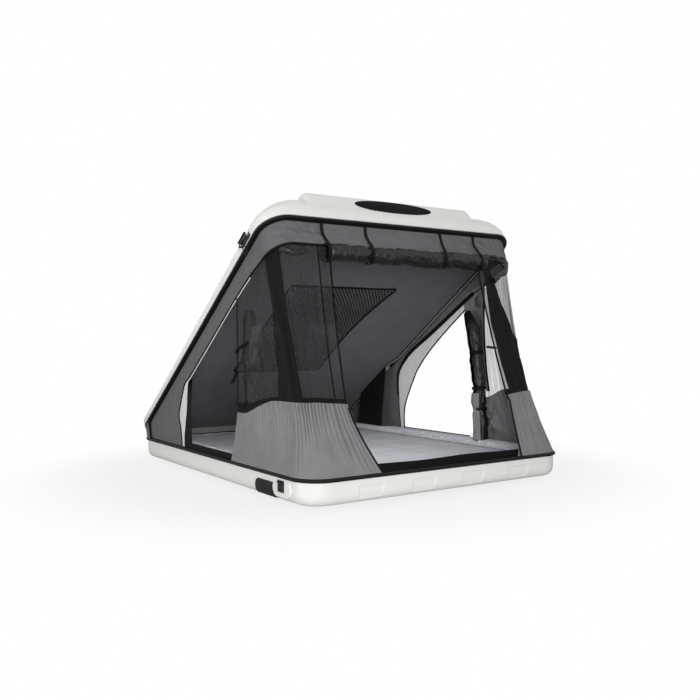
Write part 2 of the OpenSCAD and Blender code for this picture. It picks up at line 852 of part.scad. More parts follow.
module grip_outline() {
    end_y = boss_len / 2 - boss_h / 2;
    difference() {
        union() {
            translate([end_y, grip_z - boss_z - grip_h / 2])
                square([grip_len + boss_h / 2 + grip_gap - grip_h / 2, grip_h]);
            translate([end_y + grip_len + boss_h / 2 + grip_gap - grip_h / 2, grip_z - boss_z])
                circle(grip_h / 2);
        }
        translate([end_y, 0])
            circle(boss_h / 2 + grip_gap);
    }
}
module side_grip(side) {
    rib_pitch = grip_h / (grip_ribs + 1);
    back_x = tray_w / 2 - tray_foot_in;
    color(plastic_black)
    on_side(side)
    difference() {
        union() {
            yz_extrude(back_x, tray_w / 2 + grip_out - 2)
                translate([hook_y, boss_z])
                    grip_outline();
            yz_extrude(back_x, tray_w / 2 + grip_out)
                intersection() {
                    translate([hook_y, boss_z])
                        grip_outline();
                    for (k = [1:grip_ribs])
                        translate([hook_y, grip_z - grip_h / 2 + k * rib_pitch - rib_h / 2])
                            square([boss_len / 2 + grip_len - 14, rib_h]);
                }
        }
        tray_body(0, 0, tray_h + 1);
    }
}

// Canvas layout: the walls run from the rim seal of the tray to the rim seal of the lid.
// A place on a wall is given by a run (0 to 1 along the side, 1 to 2 round the corner, 2 to 3 along the
// front) and by its height.
cloth_x = tray_w / 2 - seal_in - soft_gap;
cloth_y = tray_d / 2 - seal_in - soft_gap;
cloth_r = corner_r - seal_in;
cloth_z0 = split_z - 8;
cloth_lift = 8;
rear_lap = 1;
side_end = cloth_y - cloth_r;
front_run = cloth_x - cloth_r;
lid_start = hinge_y - (hinge_y - door_front + cloth_lift * sin(open_angle)) / cos(open_angle);
function run_angle(u) = 90 + 90 * u;
function run_plan(u, start, end) =
    u <= 1 ? [-cloth_x, mix(start, -side_end, u)] :
    u <= 2 ? [-front_run + cloth_r * cos(run_angle(u)), -side_end + cloth_r * sin(run_angle(u))] :
    [mix(-front_run, -end, u - 2), -cloth_y];
function run_inward(u) =
    u <= 1 ? [1, 0, 0] : u <= 2 ? [-cos(run_angle(u)), -sin(run_angle(u)), 0] : [0, 1, 0];
function run_top(u, end) =
    let (p = run_plan(u, lid_start, end)) opened([p[0], p[1], split_z + cloth_lift]);
function run_base(u, end) =
    let (p = run_plan(u, door_front, end)) [p[0], p[1], cloth_z0];
function wall_pt(u, z, end, inward) =
    let (a = run_top(u, end), b = run_base(u, end))
    mix(a, b, (a[2] - z) / (a[2] - b[2])) + inward * run_inward(u);
function header_drop(u) =
    u <= 1 ? mix(header_side, (header_side + header_front) / 2, u) :
    u <= 2 ? mix((header_side + header_front) / 2, header_front, u - 1) : header_front;
function header_z(u) = run_top(u, 0)[2] - header_drop(u);
function seam_z(u) = rim_z + mix(seam_side, seam_front, min(u, 1.5) / 1.5);
fold_start = 0.4;
fold_waves = 9;
function fold_ease(u) = u < fold_start ? 0 : u > 1 ? 1 : sin(90 * (u - fold_start) / (1 - fold_start));
function fold_wave(u) = fold_ease(u) * (0.5 - 0.5 * cos(360 * fold_waves * (u - fold_start) / 3));
seam_fold = 7;

// A YZ point on the side, for flat canvas pieces
function side_lid_pt(along, rise) =
    let (p = opened([0, hinge_y - along, split_z + rise])) [p[1], p[2]];

module canvas_wall(side) {
    top_rear = side_lid_pt(hinge_y - side_end, cloth_lift);
    top_front = run_top(1, 0);
    low_front = wall_pt(1, header_z(1), 0, 0);
    line_z = split_z + lid_slope * hinge_y - header_side;
    arch_y = door_rear - door_r;
    arch_z = line_z - lid_slope * arch_y - door_r / cos(open_angle);
    arch = [for (k = [0:16]) let (a = (90 - open_angle) * k / 16)
        [arch_y + door_r * cos(a), arch_z + door_r * sin(a)]];
    color(canvas_grey)
    from_left(side)
    yz_extrude(-cloth_x, -cloth_x + cloth_t)
        polygon(concat(
            [[side_end, split_z + rear_lap], [side_end, cloth_z0], [door_rear, cloth_z0]], arch,
            [[low_front[1], low_front[2]], [top_front[1] + 0.5, top_front[2]], top_rear,
             side_lid_pt(hinge_y - side_end, -rear_lap)]));
}

// Rear canvas round the two rear corners, from right to left
module rear_wall() {
    steps = 10;
    corner = [for (k = [0:steps]) 90 * k / steps];
    plan = concat(
        [for (a = corner) [front_run + cloth_r * cos(a), side_end + 1 + (cloth_r - 1) * sin(a), a]],
        [for (a = corner) [-front_run - cloth_r * sin(a), side_end + 1 + (cloth_r - 1) * cos(a), 90 + a]]);
    lean = 0.6;
    function rear_rows(d) = [
        [for (p = plan) opened([p[0] - d * cos(p[2]), p[1] - d * sin(p[2]), split_z + cloth_lift])],
        [for (p = plan) opened([p[0] - d * cos(p[2]), p[1] - d * sin(p[2]), split_z - rear_lap])],
        [for (p = plan) [p[0] - d * cos(p[2]), p[1] - d * sin(p[2]), split_z + rear_lap]],
        [for (p = plan) [p[0] - d * cos(p[2]), p[1] - d * sin(p[2]), cloth_z0]]];
    color(canvas_grey)
        cloth_solid(rear_rows(lean), rear_rows(lean + cloth_t));
}

// Front header: the band under the lid edge, from one side round both corners to the other
module front_header() {
    runs = concat([for (k = [0:8]) 1 + k / 8], [for (k = [1:20]) 2 + k / 20]);
    full = concat(runs, [for (k = [len(runs) - 2:-1:0]) 6 - runs[k]]);
    bands = 3;
    function crease(u, k) = -2.4 * k / bands * (1 + sin(360 * u * 4 + 70 * k));
    function header_pt(u, k, d) =
        let (h = u > 3 ? 6 - u : u, z = run_top(h, 0)[2] - header_drop(h) * k / bands,
             p = wall_pt(h, z, 0, d + crease(u, k) * min(1, 3 * (h - 1))))
        [u > 3 ? -p[0] : p[0], p[1], p[2]];
    color(canvas_grey)
        cloth_solid([for (k = [0:bands]) [for (u = full) header_pt(u, k, 0)]],
                    [for (k = [0:bands]) [for (u = full) header_pt(u, k, cloth_t)]]);
}

// Mesh round a front corner, between the header and the skirt
module corner_mesh(side) {
    cols = 32;
    rows = 5;
    under = cloth_t + soft_gap;
    function mesh_pt(u, k, d) =
        let (t = k / rows, z = mix(header_z(u) + 12, seam_z(u) + 0.5, t),
             end = mix(front_top, front_seam, t), ease = sin(90 * t))
        wall_pt(u, z, end, d + fold_ease(u) * pinch * ease
            + (mesh_fold * sin(180 * t) + seam_fold * t) * fold_wave(u));
    color(mesh_black)
    from_left(side)
        cloth_solid([for (k = [0:rows]) [for (c = [0:cols]) mesh_pt(3 * c / cols, k, under)]],
                    [for (k = [0:rows]) [for (c = [0:cols]) mesh_pt(3 * c / cols, k, under + cloth_t)]]);
}

// Skirt below the mesh, with folds that fan out from the seam
module corner_skirt(side) {
    cols = 36;
    rows = 4;
    function skirt_pt(u, k, d) =
        let (t = k / rows, z = mix(seam_z(u), cloth_z0, t), end = mix(front_seam, front_sill_w, t))
        wall_pt(u, z, end, d + fold_ease(u) * pinch * cos(90 * t)
            + (skirt_fold * sin(180 * t) + seam_fold * (1 - t)) * fold_wave(u));
    color(canvas_grey)
    from_left(side)
        cloth_solid([for (k = [0:rows]) [for (c = [0:cols]) skirt_pt(3 * c / cols, k, 0)]],
                    [for (k = [0:rows]) [for (c = [0:cols]) skirt_pt(3 * c / cols, k, cloth_t)]]);
}

// Rolled doors: crumpled tubes, largest where the crumple is 1
roll_swell = 0.08;
function crumple(k, a) = 1 - roll_swell + roll_swell * sin(3 * a + 47 * k) * cos(2 * a - 31 * k);
front_roll_c = let (p = wall_pt(3, header_z(3), 0, 0), out = front_roll_r + 2 * soft_gap + strap_t)
    [p[1] - 4, p[2] - out];
module front_door_roll() {
    rings = 26;
    sides = 12;
    half = front_top - 14 * soft_gap;
    color(mesh_black)
    ring_solid([for (k = [0:rings]) [for (s = [0:sides - 1])
        let (a = 360 * s / sides, r = front_roll_r * crumple(k, a), x = mix(-half, half, k / rings))
        [x, front_roll_c[0] + r * cos(a), front_roll_c[1] + r * sin(a)]]]);
}

// Straps that hold the rolled front door to the header
module front_roll_straps() {
    inner = front_roll_r + soft_gap;
    top = side_lid_pt(hinge_y + cloth_y + 8, -soft_gap);
    color(mesh_black)
    for (x = [strap_inset - front_top, -strap_mid, strap_mid, front_top - strap_inset])
        yz_extrude(x - strap_w / 2, x + strap_w / 2) {
            translate(front_roll_c)
                difference() {
                    circle(inner + strap_t);
                    circle(inner);
                }
            polygon([top, top + [strap_t, -strap_t * lid_slope],
                     front_roll_c + [strap_t - inner * 0.6, inner * 0.8 + strap_t],
                     front_roll_c + [-inner * 0.6 - 1, inner * 0.8 + 1]]);
        }
}

// Rolled side door: hangs beside the door's front edge
tie_out = 2 * soft_gap + strap_t;
side_roll_x = cloth_x - 2 * cloth_t - soft_gap - tie_out - side_roll_r;
side_roll_low = [-side_roll_x, door_front - roll_low_in, split_z + roll_end_gap];
side_roll_high = [-side_roll_x, door_front - roll_high_in,
    split_z + lid_slope * (hinge_y - door_front) - header_side - roll_end_gap];
side_roll_len = norm(side_roll_high - side_roll_low);
side_roll_turn = atan2(side_roll_low[1] - side_roll_high[1], side_roll_high[2] - side_roll_low[2]);
module at_side_roll(side) {
    from_left(side)
        translate(side_roll_low)
            rotate([side_roll_turn, 0, 0])
                children();
}
module side_door_roll(side) {
    rings = 17;
    sides = 12;
    color(mesh_black)
    at_side_roll(side)
    ring_solid([for (k = [0:rings]) [for (s = [0:sides - 1])
        let (a = 360 * s / sides, r = side_roll_r * crumple(k + 3, a))
        [r * cos(a), r * sin(a), side_roll_len * k / rings]]]);
}
module roll_ties(side) {
    inner = side_roll_r + soft_gap;
    color(mesh_black)
    at_side_roll(side)
    for (share = [0.2, 0.36, 0.62])
        translate([0, 0, share * side_roll_len])
            linear_extrude(strap_w)
                difference() {
                    circle(inner + strap_t);
                    circle(inner);
                }
}

// Flat panel that hides a strut from the inside
cover_x = strut_x - strut_tube_d / 2 - cover_gap;
cover_sink = 10;
module strut_cover(side) {
    rise = lining_rise - 0.5;
    color(mesh_black)
    on_side(side)
    yz_extrude(cover_x - cloth_t, cover_x)
        polygon([[strut_foot[1] - cover_foot_front, rim_z - cover_sink],
                 [strut_foot[1] + cover_foot_rear, rim_z - cover_sink],
                 side_lid_pt(strut_b - cover_top_rear, rise), side_lid_pt(strut_b + cover_top_front, rise)]);
}

// Door sills
module front_sill() {
    color(mesh_black)
    translate([2 - front_sill_w, -cloth_y, cloth_z0])
        cube([2 * front_sill_w - 4, cloth_t, sill_h]);
}
module side_sill(side) {
    color(mesh_black)
    from_left(side)
    translate([-cloth_x, door_front + 2, cloth_z0])
        cube([cloth_t, door_rear - door_front - 4, sill_side_h]);
}

// Lid form: an upright edge, round shoulders and a deck that falls towards the hinge
function lid_deck(y) = mix(lid_rear_h, lid_front_h, (lid_d / 2 - y) / lid_d);
function lid_ring(skin, turn) =
    let (bend = 1 - cos(turn), inset = skin + lid_shoulder * bend)
    [for (q = rect_points(lid_w - 2 * inset, lid_d - 2 * skin - (lid_nose + lid_tail) * bend,
                          lid_r - inset / 2, (lid_nose - lid_tail) * bend / 2))
        [q[0], q[1], lid_rim + mix(lid_side_h, lid_deck(q[1]) - skin, sin(turn))]];
function lid_foot(skin, foot) =
    [for (q = rect_points(lid_w - 2 * skin, lid_d - 2 * skin, lid_r - skin / 2, 0)) [q[0], q[1], foot]];
module lid_body(skin, foot) {
    steps = 6;
    ring_solid(concat([lid_foot(skin, foot)], [for (k = [0:steps]) lid_ring(skin, 90 * k / steps)]));
}

// Raised deck panel: the top edge stands back from the foot, and the nose runs into the lid's front
hump_r = 60;
function hump_ring(skin, draft, nose, tail, level, flat) =
    [for (q = rect_points(hump_w - 2 * (skin + draft), lid_d - 2 * skin - nose - tail, hump_r - skin,
                          (nose - tail) / 2))
        [q[0], q[1], lid_rim + (flat ? level : lid_deck(q[1]) + level - skin)]];
module lid_hump(skin) {
    ring_solid([
        hump_ring(skin, 0, 2, hump_rear, skin > 0 ? lid_wall : lid_side_h + 8, true),
        hump_ring(skin, 0.7 * hump_draft, 0.55 * hump_front, hump_rear + 30, 0.8 * hump_h, false),
        hump_ring(skin, hump_draft, hump_front, hump_rear + 44, hump_h - 3, false),
        hump_ring(skin, 1.5 * hump_draft, hump_front + 14, hump_rear + 60, hump_h, false)]);
}

module lid_shell() {
    color(shell_white)
    open_lid()
    difference() {
        union() {
            lid_body(0, lid_rim);
            lid_hump(0);
        }
        lid_body(lid_wall, lid_rim - 1);
        lid_hump(lid_wall);
    }
}

module lid_seal() {
    color(seal_black)
    open_lid()
    translate([0, 0, split_z + seal_gap])
        ring(tray_w, tray_d, corner_r)
            seal_section();
}

// Lining: a padded panel across the lid's rim with a border that reaches up to the deck
lining_x = cloth_x - cloth_t - lining_edge;
lining_y = cloth_y - cloth_t - lining_edge;
lining_rear = 110;
notch_x = strut_x - strut_tube_d / 2 - 6;
notch_len = 220;
notch_shift = 50;
module lining_outline(inset) {
    front = -lining_y + inset;
    rear = hinge_y - lining_rear - inset;
    difference() {
        translate([0, (front + rear) / 2])
            round_rect(2 * (lining_x - inset), rear - front, cloth_r - cloth_t - lining_edge - inset);
        for (side = [-1, 1])
            translate([side * (notch_x - inset + lid_r / 2), hinge_y - strut_b + notch_shift])
                square([lid_r, notch_len + 2 * inset], center = true);
    }
}
module lid_lining() {
    face = split_z + lining_rise;
    color(lining_grey)
    open_lid()
    difference() {
        intersection() {
            translate([0, 0, face])
                linear_extrude(lid_front_h + seal_h)
                    lining_outline(0);
            lid_body(lid_wall + soft_gap, split_z);
        }
        translate([0, 0, face + lining_t])
            linear_extrude(lid_front_h + seal_h)
                lining_outline(lining_t);
    }
}

// Ceiling net: one flat sheet with a hem and square gaps
module ceiling_net() {
    across = 15;
    down = 12;
    step_x = (net_w - 2 * net_hem + net_strand) / across;
    step_y = (net_d - 2 * net_hem + net_strand) / down;
    gaps = [for (i = [0:across - 1], j = [0:down - 1])
        let (x0 = net_hem - net_w / 2 + i * step_x, y0 = net_hem + j * step_y,
             x1 = x0 + step_x - net_strand, y1 = y0 + step_y - net_strand)
        [[x0, y0], [x0, y1], [x1, y1], [x1, y0]]];
    rim = [[-net_w / 2, 0], [net_w / 2, 0], [net_w / 2, net_d], [-net_w / 2, net_d]];
    holes = [for (g = [1:len(gaps)]) [for (k = [0:3]) 4 * g + k]];
    color(mesh_black)
    open_lid()
    translate([net_x, hinge_y - net_along - net_d, split_z + lining_rise - soft_gap - net_t])
        linear_extrude(net_t)
            polygon(concat(rim, flat(gaps)), concat([[0, 1, 2, 3]], holes));
}

base_tray();
base_seal();
mounting_rail("left");  // left_mounting_rail
mounting_rail("right");  // right_mounting_rail
rail_bolts();
mattress();
hinge_base_leaf("left");  // left_hinge_base_leaf
hinge_base_leaf("right");  // right_hinge_base_leaf
hinge_pin("left");  // left_hinge_pin
hinge_pin("right");  // right_hinge_pin
strut_base_bracket("left");  // left_strut_base_bracket
strut_base_bracket("right");  // right_strut_base_bracket
latch_keeper("left");  // left_latch_keeper
latch_keeper("right");  // right_latch_keeper
side_grip("left");  // left_side_grip
side_grip("right");  // right_side_grip
front_sill();
side_sill("left");  // left_sill
side_sill("right");  // right_sill
canvas_wall("left");  // left_wall
canvas_wall("right");  // right_wall
rear_wall();
front_header();
corner_mesh("left");  // left_corner_mesh
corner_mesh("right");  // right_corner_mesh
corner_skirt("left");  // left_corner_skirt
corner_skirt("right");  // right_corner_skirt
front_door_roll();
side_door_roll("left");  // left_door_roll
side_door_roll("right");  // right_door_roll
front_roll_straps();
roll_ties("left");  // left_roll_ties
roll_ties("right");  // right_roll_ties
strut_cover("left");  // left_strut_cover
strut_cover("right");  // right_strut_cover
lid_shell();
lid_seal();
lid_lining();
ceiling_net();
hinge_lid_leaf("left");  // left_hinge_lid_leaf
hinge_lid_leaf("right");  // right_hinge_lid_leaf
strut_lid_bracket("left");  // left_strut_lid_bracket
strut_lid_bracket("right");  // right_strut_lid_bracket
latch_plate("left");  // left_latch_plate
latch_plate("right");  // right_latch_plate
latch_pin("left");  // left_latch_pin
latch_pin("right");  // right_latch_pin
strut_tube("left");  // left_strut_tube
strut_tube("right");  // right_strut_tube
strut_rod("left");  // left_strut_rod
strut_rod("right");  // right_strut_rod
latch_lever("left");  // left_latch_lever
latch_lever("right");  // right_latch_lever
latch_bail("left");  // left_latch_bail
latch_bail("right");  // right_latch_bail
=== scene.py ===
"""Looks of a hard-shell roof top tent that stands open as a wedge: shells, canvas, nets and finishes."""

import logging
import math
from collections.abc import Callable, Sequence
from dataclasses import dataclass, field
from enum import Enum
from typing import Any

import bmesh
import bpy
from mathutils import Matrix, Vector, noise
from mathutils.bvhtree import BVHTree


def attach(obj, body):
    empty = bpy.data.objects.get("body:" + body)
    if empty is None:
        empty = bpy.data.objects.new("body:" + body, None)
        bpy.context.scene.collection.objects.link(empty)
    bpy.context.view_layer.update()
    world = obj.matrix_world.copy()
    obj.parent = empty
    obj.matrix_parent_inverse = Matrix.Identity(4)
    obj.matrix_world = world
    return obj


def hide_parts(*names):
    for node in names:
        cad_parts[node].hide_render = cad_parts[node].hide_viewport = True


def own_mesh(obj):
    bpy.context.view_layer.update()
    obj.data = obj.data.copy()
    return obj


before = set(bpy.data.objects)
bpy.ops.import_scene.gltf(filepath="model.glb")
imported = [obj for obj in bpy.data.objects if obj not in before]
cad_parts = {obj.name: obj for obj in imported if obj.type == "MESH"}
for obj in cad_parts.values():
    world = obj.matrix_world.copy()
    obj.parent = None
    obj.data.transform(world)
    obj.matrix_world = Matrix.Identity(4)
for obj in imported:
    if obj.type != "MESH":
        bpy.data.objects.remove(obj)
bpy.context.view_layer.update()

LOG = logging.getLogger("roof_tent")
MM = 0.001
# Points nearer than this, in millimetres, are one point
WELD = 0.01
PIPE_SIDES = 8

BMesh = bmesh.types.BMesh
Tree = bpy.types.NodeTree
Node = bpy.types.Node
Socket = bpy.types.NodeSocket
Pair = tuple[float, float]
Triple = tuple[float, float, float]
Place = Callable[[float, float], Vector]
Girth = Callable[[float], float]


class Body(Enum):
    """The bodies that new pieces ride on."""

    BASE = "base"
    LID = "lid"


class Side(Enum):
    """A side of the tent, seen from its open front; the value is the sign of X."""

    LEFT = -1
    RIGHT = 1

    @property
    def label(self) -> str:
        """Prefix of the side's names."""
        return "left" if self is Side.LEFT else "right"


def mix(a: float, b: float, t: float) -> float:
    """Straight mix of two numbers."""
    return a + (b - a) * t


def ease(t: float) -> float:
    """Smooth step from 0 to 1, held at both ends."""
    t = min(1.0, max(0.0, t))
    return t * t * (3.0 - 2.0 * t)


def bell(x: float, middle: float, width: float) -> float:
    """Smooth hump of height 1 round a middle."""
    return math.exp(-(((x - middle) / width) ** 2))


def steps(count: int, low: float = 0.0, high: float = 1.0) -> list[float]:
    """Evenly spaced numbers, both ends included."""
    return [mix(low, high, k / count) for k in range(count + 1)]


def pick(items: Sequence[Any], share: float) -> Any:
    """Item at a share of the way through a row."""
    return items[round(share * (len(items) - 1))]


def wrinkle(x: float, y: float, z: float = 0.0) -> float:
    """Two octaves of smooth noise, about -1 to 1."""
    return noise.noise(Vector((x, y, z))) + 0.5 * noise.noise(Vector((2.1 * x + 7.3, 2.1 * y - 3.1, 2.1 * z)))


def ridge(x: float, y: float, z: float = 0.0) -> float:
    """Sharp creases in a smooth field, from about -1 to 1."""
    return 1 - 3.2 * abs(noise.noise(Vector((x, y, z))))


def length_of(points: Sequence[Vector]) -> float:
    """Length of a path of straight stretches."""
    return sum((b - a).length for a, b in zip(points, points[1:]))


def along_path(points: Sequence[Vector], t: float) -> Vector:
    """Point on a smooth curve through points.

    Args:
        points: the points it passes, in order.
        t: share of the way, by point number.

    Returns:
        The point at that share.
    """
    place = min(max(t, 0.0), 1.0) * (len(points) - 1)
    k = min(int(place), len(points) - 2)
    f = place - k
    a, b = points[max(k - 1, 0)], points[k]
    c, d = points[k + 1], points[min(k + 2, len(points) - 1)]
    return 0.5 * (2 * b + (c - a) * f + (2 * a - 5 * b + 4 * c - d) * f**2 + (3 * b - a - 3 * c + d) * f**3)


def heading(points: Sequence[Vector], t: float, reach: float) -> Vector:
    """Direction of a smooth curve, taken over a share of it to either side."""
    return (along_path(points, t + reach) - along_path(points, t - reach)).normalized()


def spaced(points: Sequence[Vector], count: int, smooth: bool = True) -> list[Vector]:
    """Evenly spaced points along a path, both ends included.

    Args:
        points: the points it passes, in order.
        count: number of steps.
        smooth: true for a smooth curve, false for straight stretches.

    Returns:
        One point more than the number of steps.
    """
    fine = [along_path(points, t) for t in steps(24 * (len(points) - 1))] if smooth else list(points)
    reach = [0.0]
    for a, b in zip(fine, fine[1:]):
        reach.append(reach[-1] + (b - a).length)
    even, k = [], 0
    for target in steps(count, 0, reach[-1]):
        while k < len(fine) - 2 and reach[k + 1] < target:
            k += 1
        gap = reach[k + 1] - reach[k]
        even.append(fine[k].lerp(fine[k + 1], (target - reach[k]) / gap if gap else 0.0))
    return even


def used_up(bm: BMesh, name: str) -> bpy.types.Mesh:
    """Mesh data made from a working mesh, which is freed."""
    mesh = bpy.data.meshes.new(name)
    bm.to_mesh(mesh)
    bm.free()
    return mesh


def linked(name: str, data: bpy.types.ID) -> bpy.types.Object:
    """New object in the scene."""
    obj = bpy.data.objects.new(name, data)
    bpy.context.scene.collection.objects.link(obj)
    return obj


def new_verts(result: dict) -> list[bmesh.types.BMVert]:
    """Points that an extrusion added."""
    return [item for item in result["geom"] if isinstance(item, bmesh.types.BMVert)]


def boundary(bm: BMesh) -> list[bmesh.types.BMEdge]:
    """Open edges of a mesh."""
    return [edge for edge in bm.edges if edge.is_boundary]


def outward(bm: BMesh) -> BMesh:
    """Turns a mesh's faces outwards."""
    bmesh.ops.recalc_face_normals(bm, faces=bm.faces)
    return bm


def turned_over(bm: BMesh) -> BMesh:
    """Turns a sheet's faces to its other side."""
    bmesh.ops.reverse_faces(bm, faces=bm.faces)
    return bm


def mirrored(bm: BMesh, side: Side) -> BMesh:
    """Moves a mesh drawn on the left to its side."""
    if side is Side.RIGHT:
        bmesh.ops.scale(bm, vec=(-1, 1, 1), verts=bm.verts)
        turned_over(bm)
    return bm


def walled(bm: BMesh, thick: float) -> BMesh:
    """Gives a surface an even wall on its inside."""
    bmesh.ops.solidify(bm, geom=bm.faces, thickness=thick)
    return outward(bm)


def thickened(bm: BMesh, thick: float) -> BMesh:
    """Gives a sheet thickness by moving a second skin back along its normals."""
    bm.normal_update()
    for vert in new_verts(bmesh.ops.extrude_face_region(bm, geom=bm.faces[:], use_keep_orig=True)):
        vert.co -= vert.normal * thick
    return outward(bm)


def closed_up(bm: BMesh, fill: bool = True) -> BMesh:
    """Joins a wrapped grid's seam, fills its open ends and turns its faces outwards."""
    bmesh.ops.remove_doubles(bm, verts=bm.verts, dist=WELD)
    bmesh.ops.dissolve_degenerate(bm, edges=bm.edges, dist=WELD / 10)
    if fill:
        bmesh.ops.holes_fill(bm, edges=boundary(bm), sides=0)
    return outward(bm)


def sheet_mesh(cols: int, rows: int, place: Place, flat: Pair) -> BMesh:
    """Grid that is moved onto a surface, with UVs in metres of the flat cut.

    Args:
        cols: steps across.
        rows: steps along.
        place: gives a point in millimetres for a share across and a share along.
        flat: size of the flat cut in millimetres.

    Returns:
        The mesh, in millimetres.
    """
    bm = bmesh.new()
    uv = bm.loops.layers.uv.new("UVMap")
    bmesh.ops.create_grid(bm, x_segments=cols, y_segments=rows, size=1.0)
    share = {}
    for vert in bm.verts:
        i, j = round((vert.co.x + 1) / 2 * cols), round((vert.co.y + 1) / 2 * rows)
        share[vert] = (i / cols, j / rows)
    for face in bm.faces:
        for loop in face.loops:
            u, v = share[loop.vert]
            loop[uv].uv = (u * flat[0] * MM, v * flat[1] * MM)
    for vert, (u, v) in share.items():
        vert.co = place(u, v)
    return bm


def pipe_mesh(points: Sequence[Vector], radius: float, count: int, taper: float = 1.0) -> BMesh:
    """Round piping along a smooth path.

    Args:
        points: the points it passes, in millimetres.
        radius: its radius in millimetres.
        count: number of steps along it.
        taper: share of the radius that it starts with.

    Returns:
        The closed mesh.
    """

    def place(u: float, v: float) -> Vector:
        """Point of the round section at a share of the path."""
        run = heading(points, v, 0.004)
        first = run.cross(Vector((0.31, 0.22, 0.92)) if abs(run.z) < 0.9 else Vector((1, 0, 0))).normalized()
        second = run.cross(first)
        angle = math.tau * u
        size = radius * mix(taper, 1, ease(3 * v))
        return along_path(points, v) + size * (math.cos(angle) * first + math.sin(angle) * second)

    return closed_up(sheet_mesh(PIPE_SIDES, count, place, (radius * math.tau, length_of(points))))


def band_mesh(points: Sequence[Vector], across: Vector, width: float, thick: float, count: int) -> BMesh:
    """Flat webbing along a smooth path.

    Args:
        points: the middle of the band, in millimetres.
        across: direction of its width.
        width: its width in millimetres.
        thick: its thickness in millimetres.
        count: number of steps along it.

    Returns:
        The closed mesh.
    """
    side = across.normalized()

    def place(u: float, v: float) -> Vector:
        """Point across the band at a share of the path."""
        return along_path(points, v) + side * width * (u - 0.5)

    return walled(sheet_mesh(4, count, place, (width, length_of(points))), thick)


def joined(meshes: Sequence[BMesh]) -> BMesh:
    """All the meshes in the first one; the others are used up."""
    first = meshes[0]
    for other in meshes[1:]:
        mesh = used_up(other, "join_work")
        first.from_mesh(mesh)
        bpy.data.meshes.remove(mesh)
    return first


def united(first: BMesh, second: BMesh) -> BMesh:
    """Union of two closed meshes; both are used up."""
    objects = [linked("union_work", used_up(bm, "union_work")) for bm in (first, second)]
    joiner = objects[0].modifiers.new("union", "BOOLEAN")
    joiner.operation = "UNION"
    joiner.solver = "EXACT"
    joiner.object = objects[1]
    bpy.context.view_layer.update()
    shaped = objects[0].evaluated_get(bpy.context.evaluated_depsgraph_get())
    result = bmesh.new()
    result.from_mesh(shaped.to_mesh())
    shaped.to_mesh_clear()
    for obj in objects:
        mesh = obj.data
        bpy.data.objects.remove(obj)
        bpy.data.meshes.remove(mesh)
    return result


def linear(code: str) -> tuple[float, float, float, float]:
    """Linear colour of an sRGB hex code."""
    parts = [int(code[k : k + 2], 16) / 255 for k in (0, 2, 4)]
    red, green, blue = (p / 12.92 if p <= 0.04045 else ((p + 0.055) / 1.055) ** 2.4 for p in parts)
    return (red, green, blue, 1.0)


def add(tree: Tree, kind: str, attrs: dict[str, Any] | None = None, inputs: dict | None = None) -> Node:
    """Adds a node with its settings and links.

    Args:
        tree: the tree it goes into.
        kind: the node's type name, without its first words.
        attrs: settings of the node itself.
        inputs: values or output sockets by input name or number.

    Returns:
        The new node.
    """
    node = tree.nodes.new(f"ShaderNode{kind}")
    for key, value in (attrs or {}).items():
        setattr(node, key, value)
    for key, value in (inputs or {}).items():
        if isinstance(value, Socket):
            tree.links.new(value, node.inputs[key])
        else:
            node.inputs[key].default_value = value
    return node


def combined(tree: Tree, operation: str, first: Socket, second: Socket) -> Socket:
    """Result of a math step on two values."""
    return add(tree, "Math", {"operation": operation}, {0: first, 1: second}).outputs[0]


def ranged(tree: Tree, value: Socket, **ends: float) -> Socket:
    """A value brought to a new range; the ends are From_Min, From_Max, To_Min and To_Max."""
    named = {key.replace("_", " "): end for key, end in ends.items()}
    return add(tree, "MapRange", inputs={"Value": value, **named}).outputs["Result"]


def blended(tree: Tree, share: Any, first: Any, second: Any, blend: str = "MIX") -> Socket:
    """Mix of two colours."""
    attrs = {"data_type": "RGBA", "blend_type": blend}
    return add(tree, "Mix", attrs, {0: share, 6: first, 7: second}).outputs[2]


def mapped(tree: Tree, where: Socket, **inputs: Triple) -> Socket:
    """Coordinates that are turned or scaled."""
    return add(tree, "Mapping", inputs={"Vector": where, **inputs}).outputs["Vector"]


def cloud(tree: Tree, where: Socket, size_mm: float, detail: float) -> Socket:
    """Noise whose grains have a size in millimetres."""
    scale = 1.0 / (size_mm * MM)
    return add(tree, "TexNoise", inputs={"Vector": where, "Scale": scale, "Detail": detail}).outputs["Fac"]


def bumped(
    tree: Tree, height: Socket, high_mm: float, strength: float, under: Socket | None = None
) -> Socket:
    """Normal of a bump with a height in millimetres, on top of another one where given."""
    inputs = {"Height": height, "Distance": high_mm * MM, "Strength": strength}
    return add(tree, "Bump", inputs=inputs | ({} if under is None else {"Normal": under})).outputs["Normal"]


